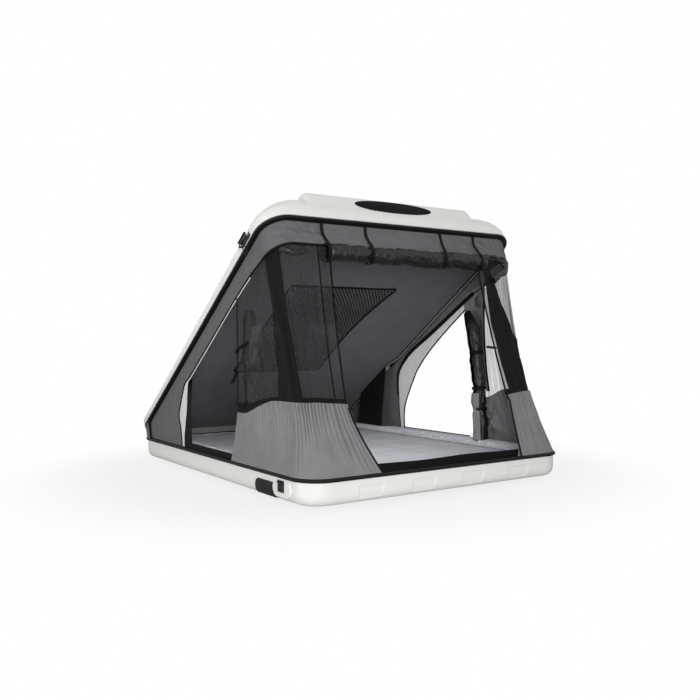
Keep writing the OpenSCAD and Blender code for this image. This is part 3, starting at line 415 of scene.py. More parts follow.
@dataclass(frozen=True)
class Finish:
    """A plain moulded or drawn surface: two close tones in a soft mottle, with a fine grain in its bump."""

    name: str
    tone: str
    deep: str
    roughness: float
    grain_mm: float = 2.0
    grain_mm_high: float = 0.1
    mottle_mm: float = 60.0
    metallic: float = 0.0
    coat: float = 0.0
    shine: float = 0.5
    through: float = 0.0

    def material(self) -> bpy.types.Material:
        """The finish's material, made once."""
        found = bpy.data.materials.get(self.name)
        if found:
            return found
        made = bpy.data.materials.new(self.name)
        made.use_nodes = True
        shader = made.node_tree.nodes["Principled BSDF"]
        settings = {
            "Metallic": self.metallic,
            "Coat Weight": self.coat,
            "Specular IOR Level": self.shine,
            "Subsurface Weight": self.through,
            "Subsurface Radius": (1.0, 1.0, 1.0),
            "Subsurface Scale": 8 * MM,
        }
        for key, value in settings.items():
            shader.inputs[key].default_value = value
        self.paint(made.node_tree, shader, add(made.node_tree, "TexCoord"))
        return made

    def mottled(self, tree: Tree, where: Socket) -> Socket:
        """Mix of the two tones by a large soft noise."""
        return blended(tree, cloud(tree, where, self.mottle_mm, 4.0), linear(self.deep), linear(self.tone))

    def link(
        self, tree: Tree, shader: Node, tone: Socket, patch: Socket, spread: Pair, normal: Socket
    ) -> None:
        """Links colour, roughness and bump to the shader.

        Args:
            tree: the material's node tree.
            shader: its Principled shader.
            tone: its colour.
            patch: noise that varies its roughness.
            spread: how far the roughness goes below and above its middle.
            normal: its bump.
        """
        low, high = self.roughness - spread[0], self.roughness + spread[1]
        tree.links.new(tone, shader.inputs["Base Color"])
        tree.links.new(ranged(tree, patch, To_Min=low, To_Max=high), shader.inputs["Roughness"])
        tree.links.new(normal, shader.inputs["Normal"])

    def paint(self, tree: Tree, shader: Node, coords: Node) -> None:
        """Links the finish's look.

        Args:
            tree: the material's node tree.
            shader: its Principled shader.
            coords: its texture coordinates.
        """
        where = coords.outputs["Object"]
        grain = cloud(tree, where, self.grain_mm, 2.0)
        bump = bumped(tree, grain, self.grain_mm_high, 0.6)
        self.link(tree, shader, self.mottled(tree, where), grain, (0.05, 0.05), bump)


@dataclass(frozen=True)
class Brushed(Finish):
    """Drawn or brushed metal: grain drawn out along one direction."""

    stretch: Triple = (1.0, 0.04, 1.0)

    def paint(self, tree: Tree, shader: Node, coords: Node) -> None:
        """Links colour, and a roughness and bump that are stretched along the metal's grain."""
        drawn = mapped(tree, coords.outputs["Object"], Scale=self.stretch)
        grain = cloud(tree, drawn, self.grain_mm, 3.0)
        bump = bumped(tree, grain, self.grain_mm_high, 0.4)
        self.link(tree, shader, self.mottled(tree, drawn), grain, (0.1, 0.12), bump)


@dataclass(frozen=True)
class Woven(Finish):
    """Woven cloth: two crossing thread systems on the cloth's own UVs, with small puckers and a mottle."""

    thread_mm: float = 4.0
    thread_mm_high: float = 0.25
    pucker_mm: float = 24.0
    pucker_mm_high: float = 0.8

    def weave(self, tree: Tree, where: Socket) -> Socket:
        """Product of bands along and across the cloth, from 0 between threads to 1 on them."""
        scale = math.tau / 20 / (self.thread_mm * MM)
        inputs = {"Vector": where, "Scale": scale, "Distortion": 0.6, "Detail": 1.0}
        along, across = (add(tree, "TexWave", {"bands_direction": axis}, inputs) for axis in "XY")
        return combined(tree, "MULTIPLY", along.outputs["Fac"], across.outputs["Fac"])

    def paint(self, tree: Tree, shader: Node, coords: Node) -> None:
        """Links the mottled colour with darker gaps between threads, and a weave and pucker bump."""
        where = coords.outputs["UV"]
        threads = self.weave(tree, where)
        tone = self.mottled(tree, where)
        gaps = blended(tree, 0.35, tone, threads, "MULTIPLY")
        pucker = cloud(tree, where, self.pucker_mm, 3.0)
        fine = bumped(tree, threads, self.thread_mm_high, 0.7)
        bump = bumped(tree, pucker, self.pucker_mm_high, 0.8, fine)
        self.link(tree, shader, blended(tree, 0.55, gaps, tone), pucker, (0.08, 0.08), bump)


@dataclass(frozen=True)
class Netting(Woven):
    """Knitted net: threads with see-through gaps; turned gives a net whose threads cross on the bias."""

    cover: Pair = (0.5, 0.95)
    gap: Pair = (0.25, 0.7)
    turned: float = 0.0
    streak_mm: float = 0.0

    def paint(self, tree: Tree, shader: Node, coords: Node) -> None:
        """Links the woven look, and an alpha that opens between the threads."""
        super().paint(tree, shader, coords)
        where = coords.outputs["UV"]
        gaps = self.weave(tree, mapped(tree, where, Rotation=(0.0, 0.0, math.radians(self.turned))))
        span = {"From_Min": self.gap[0], "From_Max": self.gap[1]}
        cover = ranged(tree, gaps, To_Min=self.cover[1], To_Max=self.cover[0], **span)
        if self.streak_mm:
            streak = cloud(tree, mapped(tree, where, Scale=(1.0, 0.035, 1.0)), self.streak_mm, 3.0)
            fold = ranged(tree, streak, From_Min=0.3, From_Max=0.7, To_Min=0.55, To_Max=1.5)
            cover = combined(tree, "MULTIPLY", cover, fold)
        tree.links.new(cover, shader.inputs["Alpha"])


# Moulded ABS shell: smooth and glossy, with a faint orange peel
SHELL = Finish("moulded_abs_white", "E9E9E6", "E2E2DF", 0.34, grain_mm=9.0, mottle_mm=220, coat=0.1)
# Extruded EPDM seal: dull black, with fine extrusion grain
SEAL = Finish(
    "extruded_epdm_black", "0B0B0C", "060607", 0.6, grain_mm=3.0, grain_mm_high=0.15, mottle_mm=40, shine=0.2
)
# Polycotton canvas: matt grey plain weave; threads are drawn coarser than real so that they show
CANVAS = Woven("polycotton_canvas_grey", "8F8F91", "7C7C7F", 0.9, mottle_mm=70, shine=0.1, thread_mm=4.5)
# Grey canvas toned darker as painted shade, for the header, side walls and rear gussets, which lie in shade
CANVAS_SHADED = Woven(
    "polycotton_canvas_dense", "747477", "646468", 0.9, shine=0.1, thread_mm=4.5, pucker_mm_high=1.6
)
# The canvas of the door flaps, which is thin enough to let light through; its pale tone is partly the cloth's
# own light grey and partly painted light for the light that shines through it from behind
CANVAS_BACKLIT = Woven(
    "polycotton_canvas_thin", "E6E7E7", "D4D5D6", 0.9, mottle_mm=70, shine=0.1, through=0.9, thread_mm=4.5
)
# Insect mesh: fine black knit that lets about two thirds of the light through; drawn coarser than real
MESH = Netting(
    "polyester_insect_mesh", "48484B", "343437", 0.85, mottle_mm=90, shine=0.1, thread_mm=5.0,
    cover=(0.2, 0.5), streak_mm=14.0,
)
# Ceiling net: open black knit on the bias
NET = Netting(
    "knitted_pocket_net", "151517", "0C0C0D", 0.8, shine=0.1, thread_mm=15.0, cover=(0.0, 0.9),
    gap=(0.02, 0.2), turned=45.0,
)
# Coated nylon of the rolled doors: black, crinkled, with soft highlights
NYLON = Woven(
    "coated_nylon_black", "121214", "070708", 0.42, mottle_mm=26, shine=0.4, thread_mm=5.0, pucker_mm=11.0,
    pucker_mm_high=3.0,
)
# Webbing and binding: dense black polyester tape
TAPE = Woven(
    "polyester_tape_black", "0B0B0C", "060607", 0.75, mottle_mm=20, shine=0.15, thread_mm=3.0, pucker_mm=8.0
)
# Lining: brushed dark grey felt on foam
LINING = Finish(
    "brushed_felt_lining", "6E6F72", "5F6063", 0.95, grain_mm=4.0, grain_mm_high=0.5, mottle_mm=120, shine=0.1
)
# Piping of the lining: pale grey vinyl
PIPING = Finish("vinyl_piping_pale", "B9BABB", "A9AAAC", 0.5, grain_mm=4.0, mottle_mm=30)
# Mattress cover: pale knitted ticking
TICKING = Woven(
    "knitted_ticking_pale", "F2F4FB", "E0E3EC", 0.92, mottle_mm=18, shine=0.1, thread_mm=9.0,
    thread_mm_high=1.0, pucker_mm=30, pucker_mm_high=3.0,
)
# Moulded nylon of grips and keepers: black with a fine spark-eroded grain
BLACK_PLASTIC = Finish(
    "moulded_nylon_black", "0E0E0F", "080809", 0.5, grain_mm=2.5, grain_mm_high=0.2, mottle_mm=30, shine=0.3
)
# Powder-coated steel of struts and latches
BLACK_PAINT = Finish(
    "powder_coated_black", "0E0E0F", "080809", 0.42, grain_mm=3.0, grain_mm_high=0.15, mottle_mm=25, shine=0.4
)
# Zinc-plated steel: grey, drawn grain
STEEL = Brushed("zinc_plated_steel", "A9ACAF", "95989B", 0.36, grain_mm=3.0, metallic=1.0)
# Extruded aluminium rail: pale, die lines along its length
ALUMINIUM = Brushed("extruded_aluminium", "BFC1C3", "B0B2B5", 0.38, grain_mm=3.0, metallic=1.0)
# Bare lacquered plate on the lid's nose
PLATE = Finish(
    "lacquered_plate_black", "0A0A0B", "060607", 0.5, grain_mm=6.0, grain_mm_high=0.05, mottle_mm=50,
    shine=0.05,
)


@dataclass(frozen=True)
class Tent:
    """Sizes in millimetres that several sub-assemblies share, the same as the solids'."""

    tray_w: float = 1490.0
    tray_d: float = 1990.0
    rail_h: float = 25.0
    rim_z: float = 125.0
    corner_r: float = 120.0
    seal_h: float = 15.0
    seal_gap: float = 0.5
    seal_in: float = 14.0
    lid_over: float = 12.0
    hinge_y: float = 1017.0
    open_angle: float = math.radians(33.4)

    @property
    def split_z(self) -> float:
        """Level of the hinge axis, on top of the base seal."""
        return self.rim_z + self.seal_h

    @property
    def lid_rim(self) -> float:
        """Level of the closed lid shell's edge."""
        return self.split_z + self.seal_gap + self.seal_h

    def opened(self, p: Vector) -> Vector:
        """Where a point of the closed lid stands when the lid is open."""
        along, rise = self.hinge_y - p.y, p.z - self.split_z
        c, s = math.cos(self.open_angle), math.sin(self.open_angle)
        return Vector((p.x, self.hinge_y - along * c + rise * s, self.split_z + along * s + rise * c))

    def on_lid(self, x: float, y: float, rise: float) -> Vector:
        """Open place of a lid point given by its closed X and Y and its height above the split."""
        return self.opened(Vector((x, y, self.split_z + rise)))

    def open_mesh(self, bm: BMesh) -> BMesh:
        """Turns a mesh of the closed lid open."""
        turn = Matrix.Rotation(-self.open_angle, 3, "X")
        bmesh.ops.rotate(bm, cent=(0, self.hinge_y, self.split_z), matrix=turn, verts=bm.verts)
        return bm


TENT = Tent()


@dataclass(frozen=True)
class Station:
    """A place on a rounded rectangle: an angle on a corner, or a share of the straight after it."""

    corner: int
    angle: float
    share: float = 0.0

    def on(self, w: float, d: float, r: float, y: float = 0.0) -> Vector:
        """The place on one rectangle.

        Args:
            w: width.
            d: depth.
            r: corner radius.
            y: Y of the middle.

        Returns:
            The point, at level 0.
        """

        def arc(corner: int) -> Vector:
            """Place of the angle on one of the corners."""
            sx = 1 if corner in (0, 3) else -1
            sy = 1 if corner < 2 else -1
            x = sx * (w / 2 - r) + r * math.cos(self.angle)
            return Vector((x, y + sy * (d / 2 - r) + r * math.sin(self.angle), 0))

        start = arc(self.corner)
        return start.lerp(arc((self.corner + 1) % 4), self.share) if self.share else start


def stations(arc_steps: int, straights: Sequence[int]) -> list[Station]:
    """Places all round, from the right side's rear corner; the first place is repeated at the end.

    Args:
        arc_steps: steps on each corner.
        straights: steps on the rear, left, front and right straights.

    Returns:
        The places in order.
    """
    places = []
    for corner in range(4):
        start = math.pi / 2 * corner
        places += [Station(corner, start + math.pi / 2 * k / arc_steps) for k in range(arc_steps + 1)]
        end = start + math.pi / 2
        places += [Station(corner, end, k / straights[corner]) for k in range(1, straights[corner])]
    return places + [Station(0, 0.0)]


@dataclass
class Workshop:
    """Turns finished meshes into pieces of the object and keeps count of them."""

    made: list[str] = field(default_factory=list)

    def piece(
        self, bm: BMesh, name: str, finish: Finish, body: Body, slot: str, stands_for: Sequence[str] = (),
        folds: bool = False, crisp: float = 38.0,
    ) -> bpy.types.Object:
        """Makes a piece from a mesh in millimetres; the mesh is used up.

        Args:
            bm: the shape.
            name: the piece's name.
            finish: what it is made of.
            body: what it rides on.
            slot: the material slot's name; not used.
            stands_for: solids that it replaces.
            folds: true for cloth that folds flat as the lid shuts; such a piece only gets a mesh of its own.
            crisp: edges that turn by more degrees than this stay sharp.

        Returns:
            The new object.
        """
        bmesh.ops.scale(bm, vec=(MM, MM, MM), verts=bm.verts)
        for face in bm.faces:
            face.smooth = True
        for edge in bm.edges:
            edge.smooth = not (edge.is_manifold and edge.calc_face_angle(0.0) > math.radians(crisp))
        mesh = used_up(bm, name)
        mesh.materials.append(finish.material())
        obj = linked(name, mesh)
        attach(obj, body.value)
        if stands_for:
            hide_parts(*stands_for)
        if folds:
            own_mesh(obj)
        self.made.append(name)
        LOG.info("made %s: %d faces", name, len(mesh.polygons))
        return obj

    def dress(self, finish: Finish, *nodes: str) -> None:
        """Gives solids that stay in sight their finish."""
        for node in nodes:
            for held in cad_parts[node].material_slots:
                held.material = finish.material()
            LOG.info("dressed %s", node)


def lofted(places: Sequence[Station], rows: Sequence[Any], place: Callable, flat: Pair) -> BMesh:
    """Grid through the same places at several rows.

    Args:
        places: the places all round.
        rows: what each row has for itself, from the first to the last.
        place: gives a point in millimetres for a place and a row.
        flat: size of the flat cut in millimetres.

    Returns:
        The mesh, in millimetres.
    """

    def at(u: float, v: float) -> Vector:
        """Point at a share of the way round and a share of the rows."""
        return place(pick(places, u), pick(rows, v))

    return sheet_mesh(len(places) - 1, len(rows) - 1, at, flat)


@dataclass
class Shells:
    """Moulded tray and lid, their rim seals and the bare plate on the lid's nose."""

    shop: Workshop
    tray_wall: float = 6.0
    tray_h: float = 100.0
    foot_in: float = 34.0
    curve_h: float = 45.0
    pad_w: float = 135.0
    pad_h: float = 56.0
    pad_pitch: float = 288.0
    pad_depth: float = 3.0
    pad_z: float = 17.0
    pad_slant: float = 14.0
    pad_edge: float = 5.0
    groove: Pair = (4.0, 1.2)
    lid_wall: float = 5.0
    side_h: float = 28.0
    front_h: float = 122.0
    rear_h: float = 50.0
    shoulder: float = 236.0
    nose: float = 40.0
    tail: float = 120.0
    hump_w: float = 1020.0
    hump_r: float = 26.0
    hump_steep: float = 0.25
    hump_foot: float = 8.0
    hump_nose: Pair = (260.0, 62.0)
    boss_y: float = -778.0
    boss_z: float = 79.0
    boss_h: float = 75.0
    boss_len: float = 160.0
    boss_out: float = 4.0
    boss_edge: float = 3.0
    plate_size: Pair = (466.0, 79.0)
    plate_x: float = -5.0
    plate_z: float = 271.0
    plate_t: float = 1.6
    skin: BVHTree | None = None

    @property
    def lid_r(self) -> float:
        """Plan radius of the lid's corners at its edge."""
        return TENT.corner_r + TENT.lid_over

    @property
    def lid_w(self) -> float:
        """Width of the lid at its edge."""
        return TENT.tray_w + 2 * TENT.lid_over

    @property
    def lid_d(self) -> float:
        """Depth of the lid at its edge."""
        return TENT.tray_d + 2 * TENT.lid_over

    def pad_mask(self, x: float, level: float) -> float:
        """How far a place on the tray's front lies in a moulded pad, from 0 to 1."""
        best = 0.0
        for k in range(4):
            left = (k - 1.5) * self.pad_pitch - self.pad_w / 2
            rise = level - self.pad_z
            right = left + self.pad_w - self.pad_slant * (1 - rise / self.pad_h)
            inside = min(x - left, right - x, rise, self.pad_h - rise)
            best = max(best, ease(inside / self.pad_edge))
        return best

    def tray(self) -> None:
        """Tray: round bottom edge and shallow pads in the front wall."""
        quarter = steps(14, 0, math.pi / 2)
        levels = [(self.foot_in * (1 - math.sin(t)), self.curve_h * (1 - math.cos(t))) for t in quarter]
        levels += [(0.0, z) for z in steps(14, self.curve_h, self.tray_h)[1:]]

        def place(station: Station, row: Pair) -> Vector:
            """Point of the tray's outer face."""
            inset, level = row
            p = station.on(TENT.tray_w - 2 * inset, TENT.tray_d - 2 * inset, TENT.corner_r - inset)
            if station.corner == 2 and station.share:
                p.y += self.pad_depth * self.pad_mask(p.x, level)
            p.z = TENT.rail_h + level
            return p

        bm = lofted(stations(14, (6, 8, 320, 8)), levels, place, (6400, 150))
        bmesh.ops.remove_doubles(bm, verts=bm.verts, dist=WELD)
        low = [e for e in boundary(bm) if e.verts[0].co.z < TENT.rail_h + 1]
        bmesh.ops.holes_fill(bm, edges=low, sides=0)
        bm = walled(outward(bm), self.tray_wall)
        self.shop.piece(bm, "tray_skin", SHELL, Body.BASE, "shell", ["base_tray"])

    def boss(self, side: Side) -> None:
        """Oval boss on a side of the tray."""
        bm = bmesh.new()
        ring = bmesh.ops.create_circle(bm, segments=64, radius=self.boss_h / 2, cap_ends=True)["verts"]
        for vert in ring:
            vert.co.x += math.copysign((self.boss_len - self.boss_h) / 2, vert.co.x)
        top = new_verts(bmesh.ops.extrude_face_region(bm, geom=bm.faces[:]))
        bmesh.ops.translate(bm, vec=(0, 0, self.foot_in / 2 + self.boss_out), verts=top)
        rim = [e for e in bm.edges if all(v in top for v in e.verts)]
        bmesh.ops.bevel(
            bm, geom=rim, offset=self.boss_edge, segments=4, profile=0.5, affect="EDGES", material=-1
        )
        for angle, axis in ((math.pi / 2, "Z"), (side.value * math.pi / 2, "Y")):
            bmesh.ops.rotate(bm, cent=(0, 0, 0), matrix=Matrix.Rotation(angle, 3, axis), verts=bm.verts)
        out = side.value * (TENT.tray_w / 2 - self.foot_in / 2)
        bmesh.ops.translate(bm, vec=(out, self.boss_y, self.boss_z), verts=bm.verts)
        self.shop.piece(outward(bm), f"{side.label}_boss", SHELL, Body.BASE, "shell")

    def seal(self, name: str, level: float, body: Body) -> None:
        """Rim seal: flat strip with a round outer edge and a shallow groove under it.

        Args:
            name: the solid it replaces, and the piece's name with an ending.
            level: its underside, with the lid closed.
            body: what it rides on.
        """
        h, r = TENT.seal_h, TENT.seal_h / 2
        edge = TENT.lid_over - r
        half, deep = self.groove
        section = [(-TENT.seal_in, 0.0), (-half, 0.0), (0.0, deep), (half, 0.0)]
        section += [(edge + r * math.sin(t), r - r * math.cos(t)) for t in steps(12, 0, math.pi)]
        section += [(half, h), (0.0, h), (-TENT.seal_in, h), (-TENT.seal_in, 0.0)]

        def place(station: Station, row: Pair) -> Vector:
            """Point of the section all round the rim."""
            out, rise = row
            p = station.on(TENT.tray_w + 2 * out, TENT.tray_d + 2 * out, TENT.corner_r + out)
            p.z = level + rise
            return p

        bm = closed_up(lofted(stations(20, (4, 4, 4, 4)), section, place, (6600, 80)), fill=False)
        if body is Body.LID:
            TENT.open_mesh(bm)
        self.shop.piece(bm, f"{name}_strip", SEAL, body, "seal", [name], crisp=60)

    def deck(self, y: float) -> float:
        """Height of the lid's deck above its edge."""
        return mix(self.rear_h, self.front_h, (self.lid_d / 2 - y) / self.lid_d)

    def lid(self) -> None:
        """Lid: upright edge, round shoulders, a deck that falls to the hinge and a raised front panel."""

        def body(station: Station, turn: float) -> Vector:
            """Point of the lid's outer face without its panel; the edge has a turn below 0."""
            bend = 1 - math.cos(max(turn, 0))
            inset = self.shoulder * bend
            depth = self.lid_d - (self.nose + self.tail) * bend
            middle = (self.nose - self.tail) * bend / 2
            p = station.on(self.lid_w - 2 * inset, depth, self.lid_r - inset / 2, middle)
            p.z = TENT.lid_rim + (0 if turn < 0 else mix(self.side_h, self.deck(p.y), math.sin(turn)))
            return p

        def hump(station: Station, ring: tuple) -> Vector:
            """Point of the raised panel's outer face."""
            draft, front, rear, rise = ring
            width = self.hump_w - 2 * self.hump_steep * draft
            p = station.on(width, self.lid_d - front - rear, self.hump_r, (front - rear) / 2)
            reach, level = self.hump_nose
            low = level if p.y < reach - self.lid_d / 2 else self.side_h + self.hump_foot
            p.z = TENT.lid_rim + (low if rise is None else self.deck(p.y) + rise)
            return p

        # Setbacks from foot to top: sides, front, rear and height above the deck; the foot lies in the lid
        rings = [
            (0, 7, 330, None), (3, 9, 336, 2), (8, 11, 342, 16), (12, 13, 348, 29), (15, 16, 354, 37),
            (18, 20, 360, 42), (22, 26, 368, 44.8), (28, 36, 378, 46),
        ]
        straights = (10, 10, 16, 10)
        turns = [-1.0] + steps(18, 0, math.pi / 2)
        shell = closed_up(lofted(stations(16, straights), turns, body, (6800, 300)))
        panel = closed_up(lofted(stations(12, straights), rings, hump, (5200, 120)))
        bm = united(shell, panel)
        floor = [f for f in bm.faces if all(abs(v.co.z - TENT.lid_rim) < WELD for v in f.verts)]
        bmesh.ops.delete(bm, geom=floor, context="FACES_ONLY")
        self.skin = BVHTree.FromBMesh(bm)
        bm = TENT.open_mesh(walled(bm, self.lid_wall))
        self.shop.piece(bm, "lid_skin", SHELL, Body.LID, "shell", ["lid_shell"], crisp=50)

    def plate(self) -> None:
        """Bare oval plate that follows the lid's nose."""

        def place(u: float, v: float) -> Vector:
            """Point of the oval, laid on the lid."""
            angle = math.tau * u
            x = self.plate_x + self.plate_size[0] / 2 * v * math.cos(angle)
            z = self.plate_z + self.plate_size[1] / 2 * v * math.sin(angle)
            spot, normal, _, _ = self.skin.ray_cast(Vector((x, -self.lid_d, z)), Vector((0, 1, 0)))
            return spot + normal * self.plate_t

        bm = walled(closed_up(sheet_mesh(72, 8, place, self.plate_size), fill=False), self.plate_t)
        self.shop.piece(TENT.open_mesh(bm), "nose_plate", PLATE, Body.LID, "black_plastic", crisp=30)

    def build(self) -> None:
        """Builds the shells and seals."""
        self.tray()
        for side in Side:
            self.boss(side)
        self.seal("base_seal", TENT.rim_z, Body.BASE)
        self.seal("lid_seal", TENT.split_z + TENT.seal_gap, Body.LID)
        self.lid()
        self.plate()


@dataclass
class Bed:
    """Quilted mattress on the tray floor."""

    shop: Workshop
    width: float = 1304.0
    depth: float = 1880.0
    edge_in: float = 14.0
    edge_h: float = 96.0
    crown: float = 8.0
    quilt: float = 5.0
    puff: float = 1.6
    floor_z: float = 31.3
    corner: float = 60.0
    cells: tuple[int, int] = (6, 7)
    # Steps down the side: how far out each goes, and its height as a share of the edge
    sides: tuple[Pair, ...] = ((11, -0.1), (3, -0.06), (-4, -0.36), (4, -0.3), (-11, -0.18))
    ruffle_x: Triple = (588.0, 714.0, 648.0)
    ruffle_y: Pair = (-850.0, 860.0)
    ruffle_h: float = 21.0

    def top(self, u: float, v: float) -> Vector:
        """A point of the quilted top, which falls off to its edges."""
        a, b = 2 * u - 1, 2 * v - 1
        body = (1 - a**6) * (1 - b**6)
        dip = max(abs(math.cos(math.pi * count * t)) ** 8 for count, t in zip(self.cells, (u, v)))
        puff = self.puff * wrinkle(u * 16, v * 22)
        z = self.edge_h + (self.crown - self.quilt * dip + puff * (1 - dip)) * body
        x, y = (self.width - 2 * self.edge_in) * (u - 0.5), (self.depth - 2 * self.edge_in) * (0.5 - v)
        return Vector((x, y, self.floor_z + z))

    def mattress(self) -> None:
        """Mattress as one closed cover: the top, then sides drawn in at their middle."""
        bm = turned_over(sheet_mesh(132, 196, self.top, (self.width, self.depth)))
        for out, fall in self.sides:
            for vert in new_verts(bmesh.ops.extrude_edge_only(bm, edges=boundary(bm))):
                x, y = vert.co.x, vert.co.y
                vert.co.x += math.copysign(out, x) * min(1, abs(x) / (self.width / 2 - self.corner)) ** 8
                vert.co.y += math.copysign(out, y) * min(1, abs(y) / (self.depth / 2 - self.corner)) ** 8
                vert.co.z += fall * self.edge_h
        bmesh.ops.holes_fill(bm, edges=boundary(bm), sides=0)
        for vert in outward(bm).verts:
            vert.co.z = max(vert.co.z, self.floor_z)
        bed = self.shop.piece(bm, "mattress_cover", TICKING, Body.BASE, "mattress", ["mattress"])

    def ruffle(self, side: Side) -> None:
        """Loose crinkled edge of the cover, which lies up against the wall."""

        def place(u: float, v: float) -> Vector:
            """Point of the crinkled strip."""
            y = mix(*self.ruffle_y, u)
            out = mix(self.ruffle_x[1], self.ruffle_x[2], ease((y - 380) / 60))
            crush = wrinkle(y / 17, 7 * v, side.value) + 0.4 * wrinkle(y / 60, 2 * v)
            crush *= math.sin(math.pi * min(1, 0.1 + v))
            x = mix(self.ruffle_x[0], out, v) + 3 * wrinkle(y / 40, 3 * v, 7.0) * v
            level = self.floor_z + self.edge_h + self.crown - 2 + self.ruffle_h * ease(v)
            return Vector((side.value * min(x, out), y, level + 9 * max(-0.4, crush)))

        bm = sheet_mesh(340, 22, place, (1710, 150))
        if side is Side.LEFT:
            turned_over(bm)
        name = f"{side.label}_cover_edge"
        obj = self.shop.piece(thickened(bm, 1.2), name, TICKING, Body.BASE, "mattress", folds=True, crisp=85)

    def build(self) -> None:
        """Builds the bed."""
        self.mattress()
        for side in Side:
            self.ruffle(side)


@dataclass(frozen=True)
class SideCut:
    """What differs between the two sides of the cloth, in millimetres.

    Half width of the front opening and first run of the corner cloth, each at header, seam and sill;
    depth of its creases; first run and cut of the gathered hem; width of the mesh's and the flap's cut;
    radius of the flap's binding; height of the sill; door and flap edges as Y and Z from the rim up and
    forward; the dense band on the mesh as share of its height, first and last run; and the band's loop
    as run and fall below the header, how far in it hangs and its radius.
    """

    opening: Triple
    rear: Triple
    crumple: float
    hem_run: float
    hem: Pair
    net_w: float
    flap_w: float
    flap_r: float
    sill_h: float
    wall_edge: tuple[Pair, ...]
    flap_edge: tuple[Pair, ...]
    band: tuple[Triple, ...]
    loop: tuple[Pair, ...]
    loop_in: float
    loop_r: float


CUTS = {
    Side.LEFT: SideCut(
        opening=(435, 463, 378),
        rear=(0.0, 0.0, -0.065),
        crumple=1.6,
        hem_run=0.0,
        hem=(1000, 30),
        net_w=1000,
        flap_w=42,
        flap_r=2.6,
        sill_h=34.0,
        wall_edge=(
            (386, 132), (404, 230), (429, 304), (400, 380), (341, 481), (269, 524), (87, 645),
            (-93, 765), (-278, 889), (-460, 1003),
        ),
        flap_edge=(
            (366, 132), (364, 205), (330, 340), (312, 475), (262, 519), (82, 640), (-96, 761),
            (-281, 885), (-462, 998),
        ),
        band=((0.0, 1.08, 1.6), (0.5, 0.84, 1.47), (1.0, 0.77, 1.55)),
        loop=((1.35, 16), (1.7, 22), (2.0, 46), (2.3, 40), (2.45, 22)),
        loop_in=18,
        loop_r=15,
    ),
    Side.RIGHT: SideCut(
        opening=(455, 500, 450),
        rear=(0.2, 0.26, 0.23),
        crumple=26.0,
        hem_run=0.95,
        hem=(440, 26),
        net_w=840,
        flap_w=130,
        flap_r=4.2,
        sill_h=24.0,
        wall_edge=(
            (329, 132), (345, 255), (352, 360), (354, 465), (335, 521), (278, 585), (198, 647),
            (-15, 766), (-272, 918), (-364, 972),
        ),
        flap_edge=(
            (293, 132), (296, 237), (281, 308), (247, 378), (201, 456), (156, 525), (69, 614),
            (-35, 700), (-165, 795), (-290, 880),
        ),
        band=(
            (0.0, 1.45, 2.0), (0.05, 1.9, 2.5), (0.12, 2.52, 2.8), (0.25, 2.38, 2.8), (0.4, 2.16, 2.85),
            (0.5, 2.06, 2.87), (0.6, 1.82, 2.86), (0.7, 1.5, 2.85), (1.0, 1.35, 2.8),
        ),
        loop=((2.95, 16), (2.5, 8), (2.15, 10), (1.8, 24), (1.8, 62), (2.2, 98), (2.5, 128)),
        loop_in=5,
        loop_r=19,
    ),
}


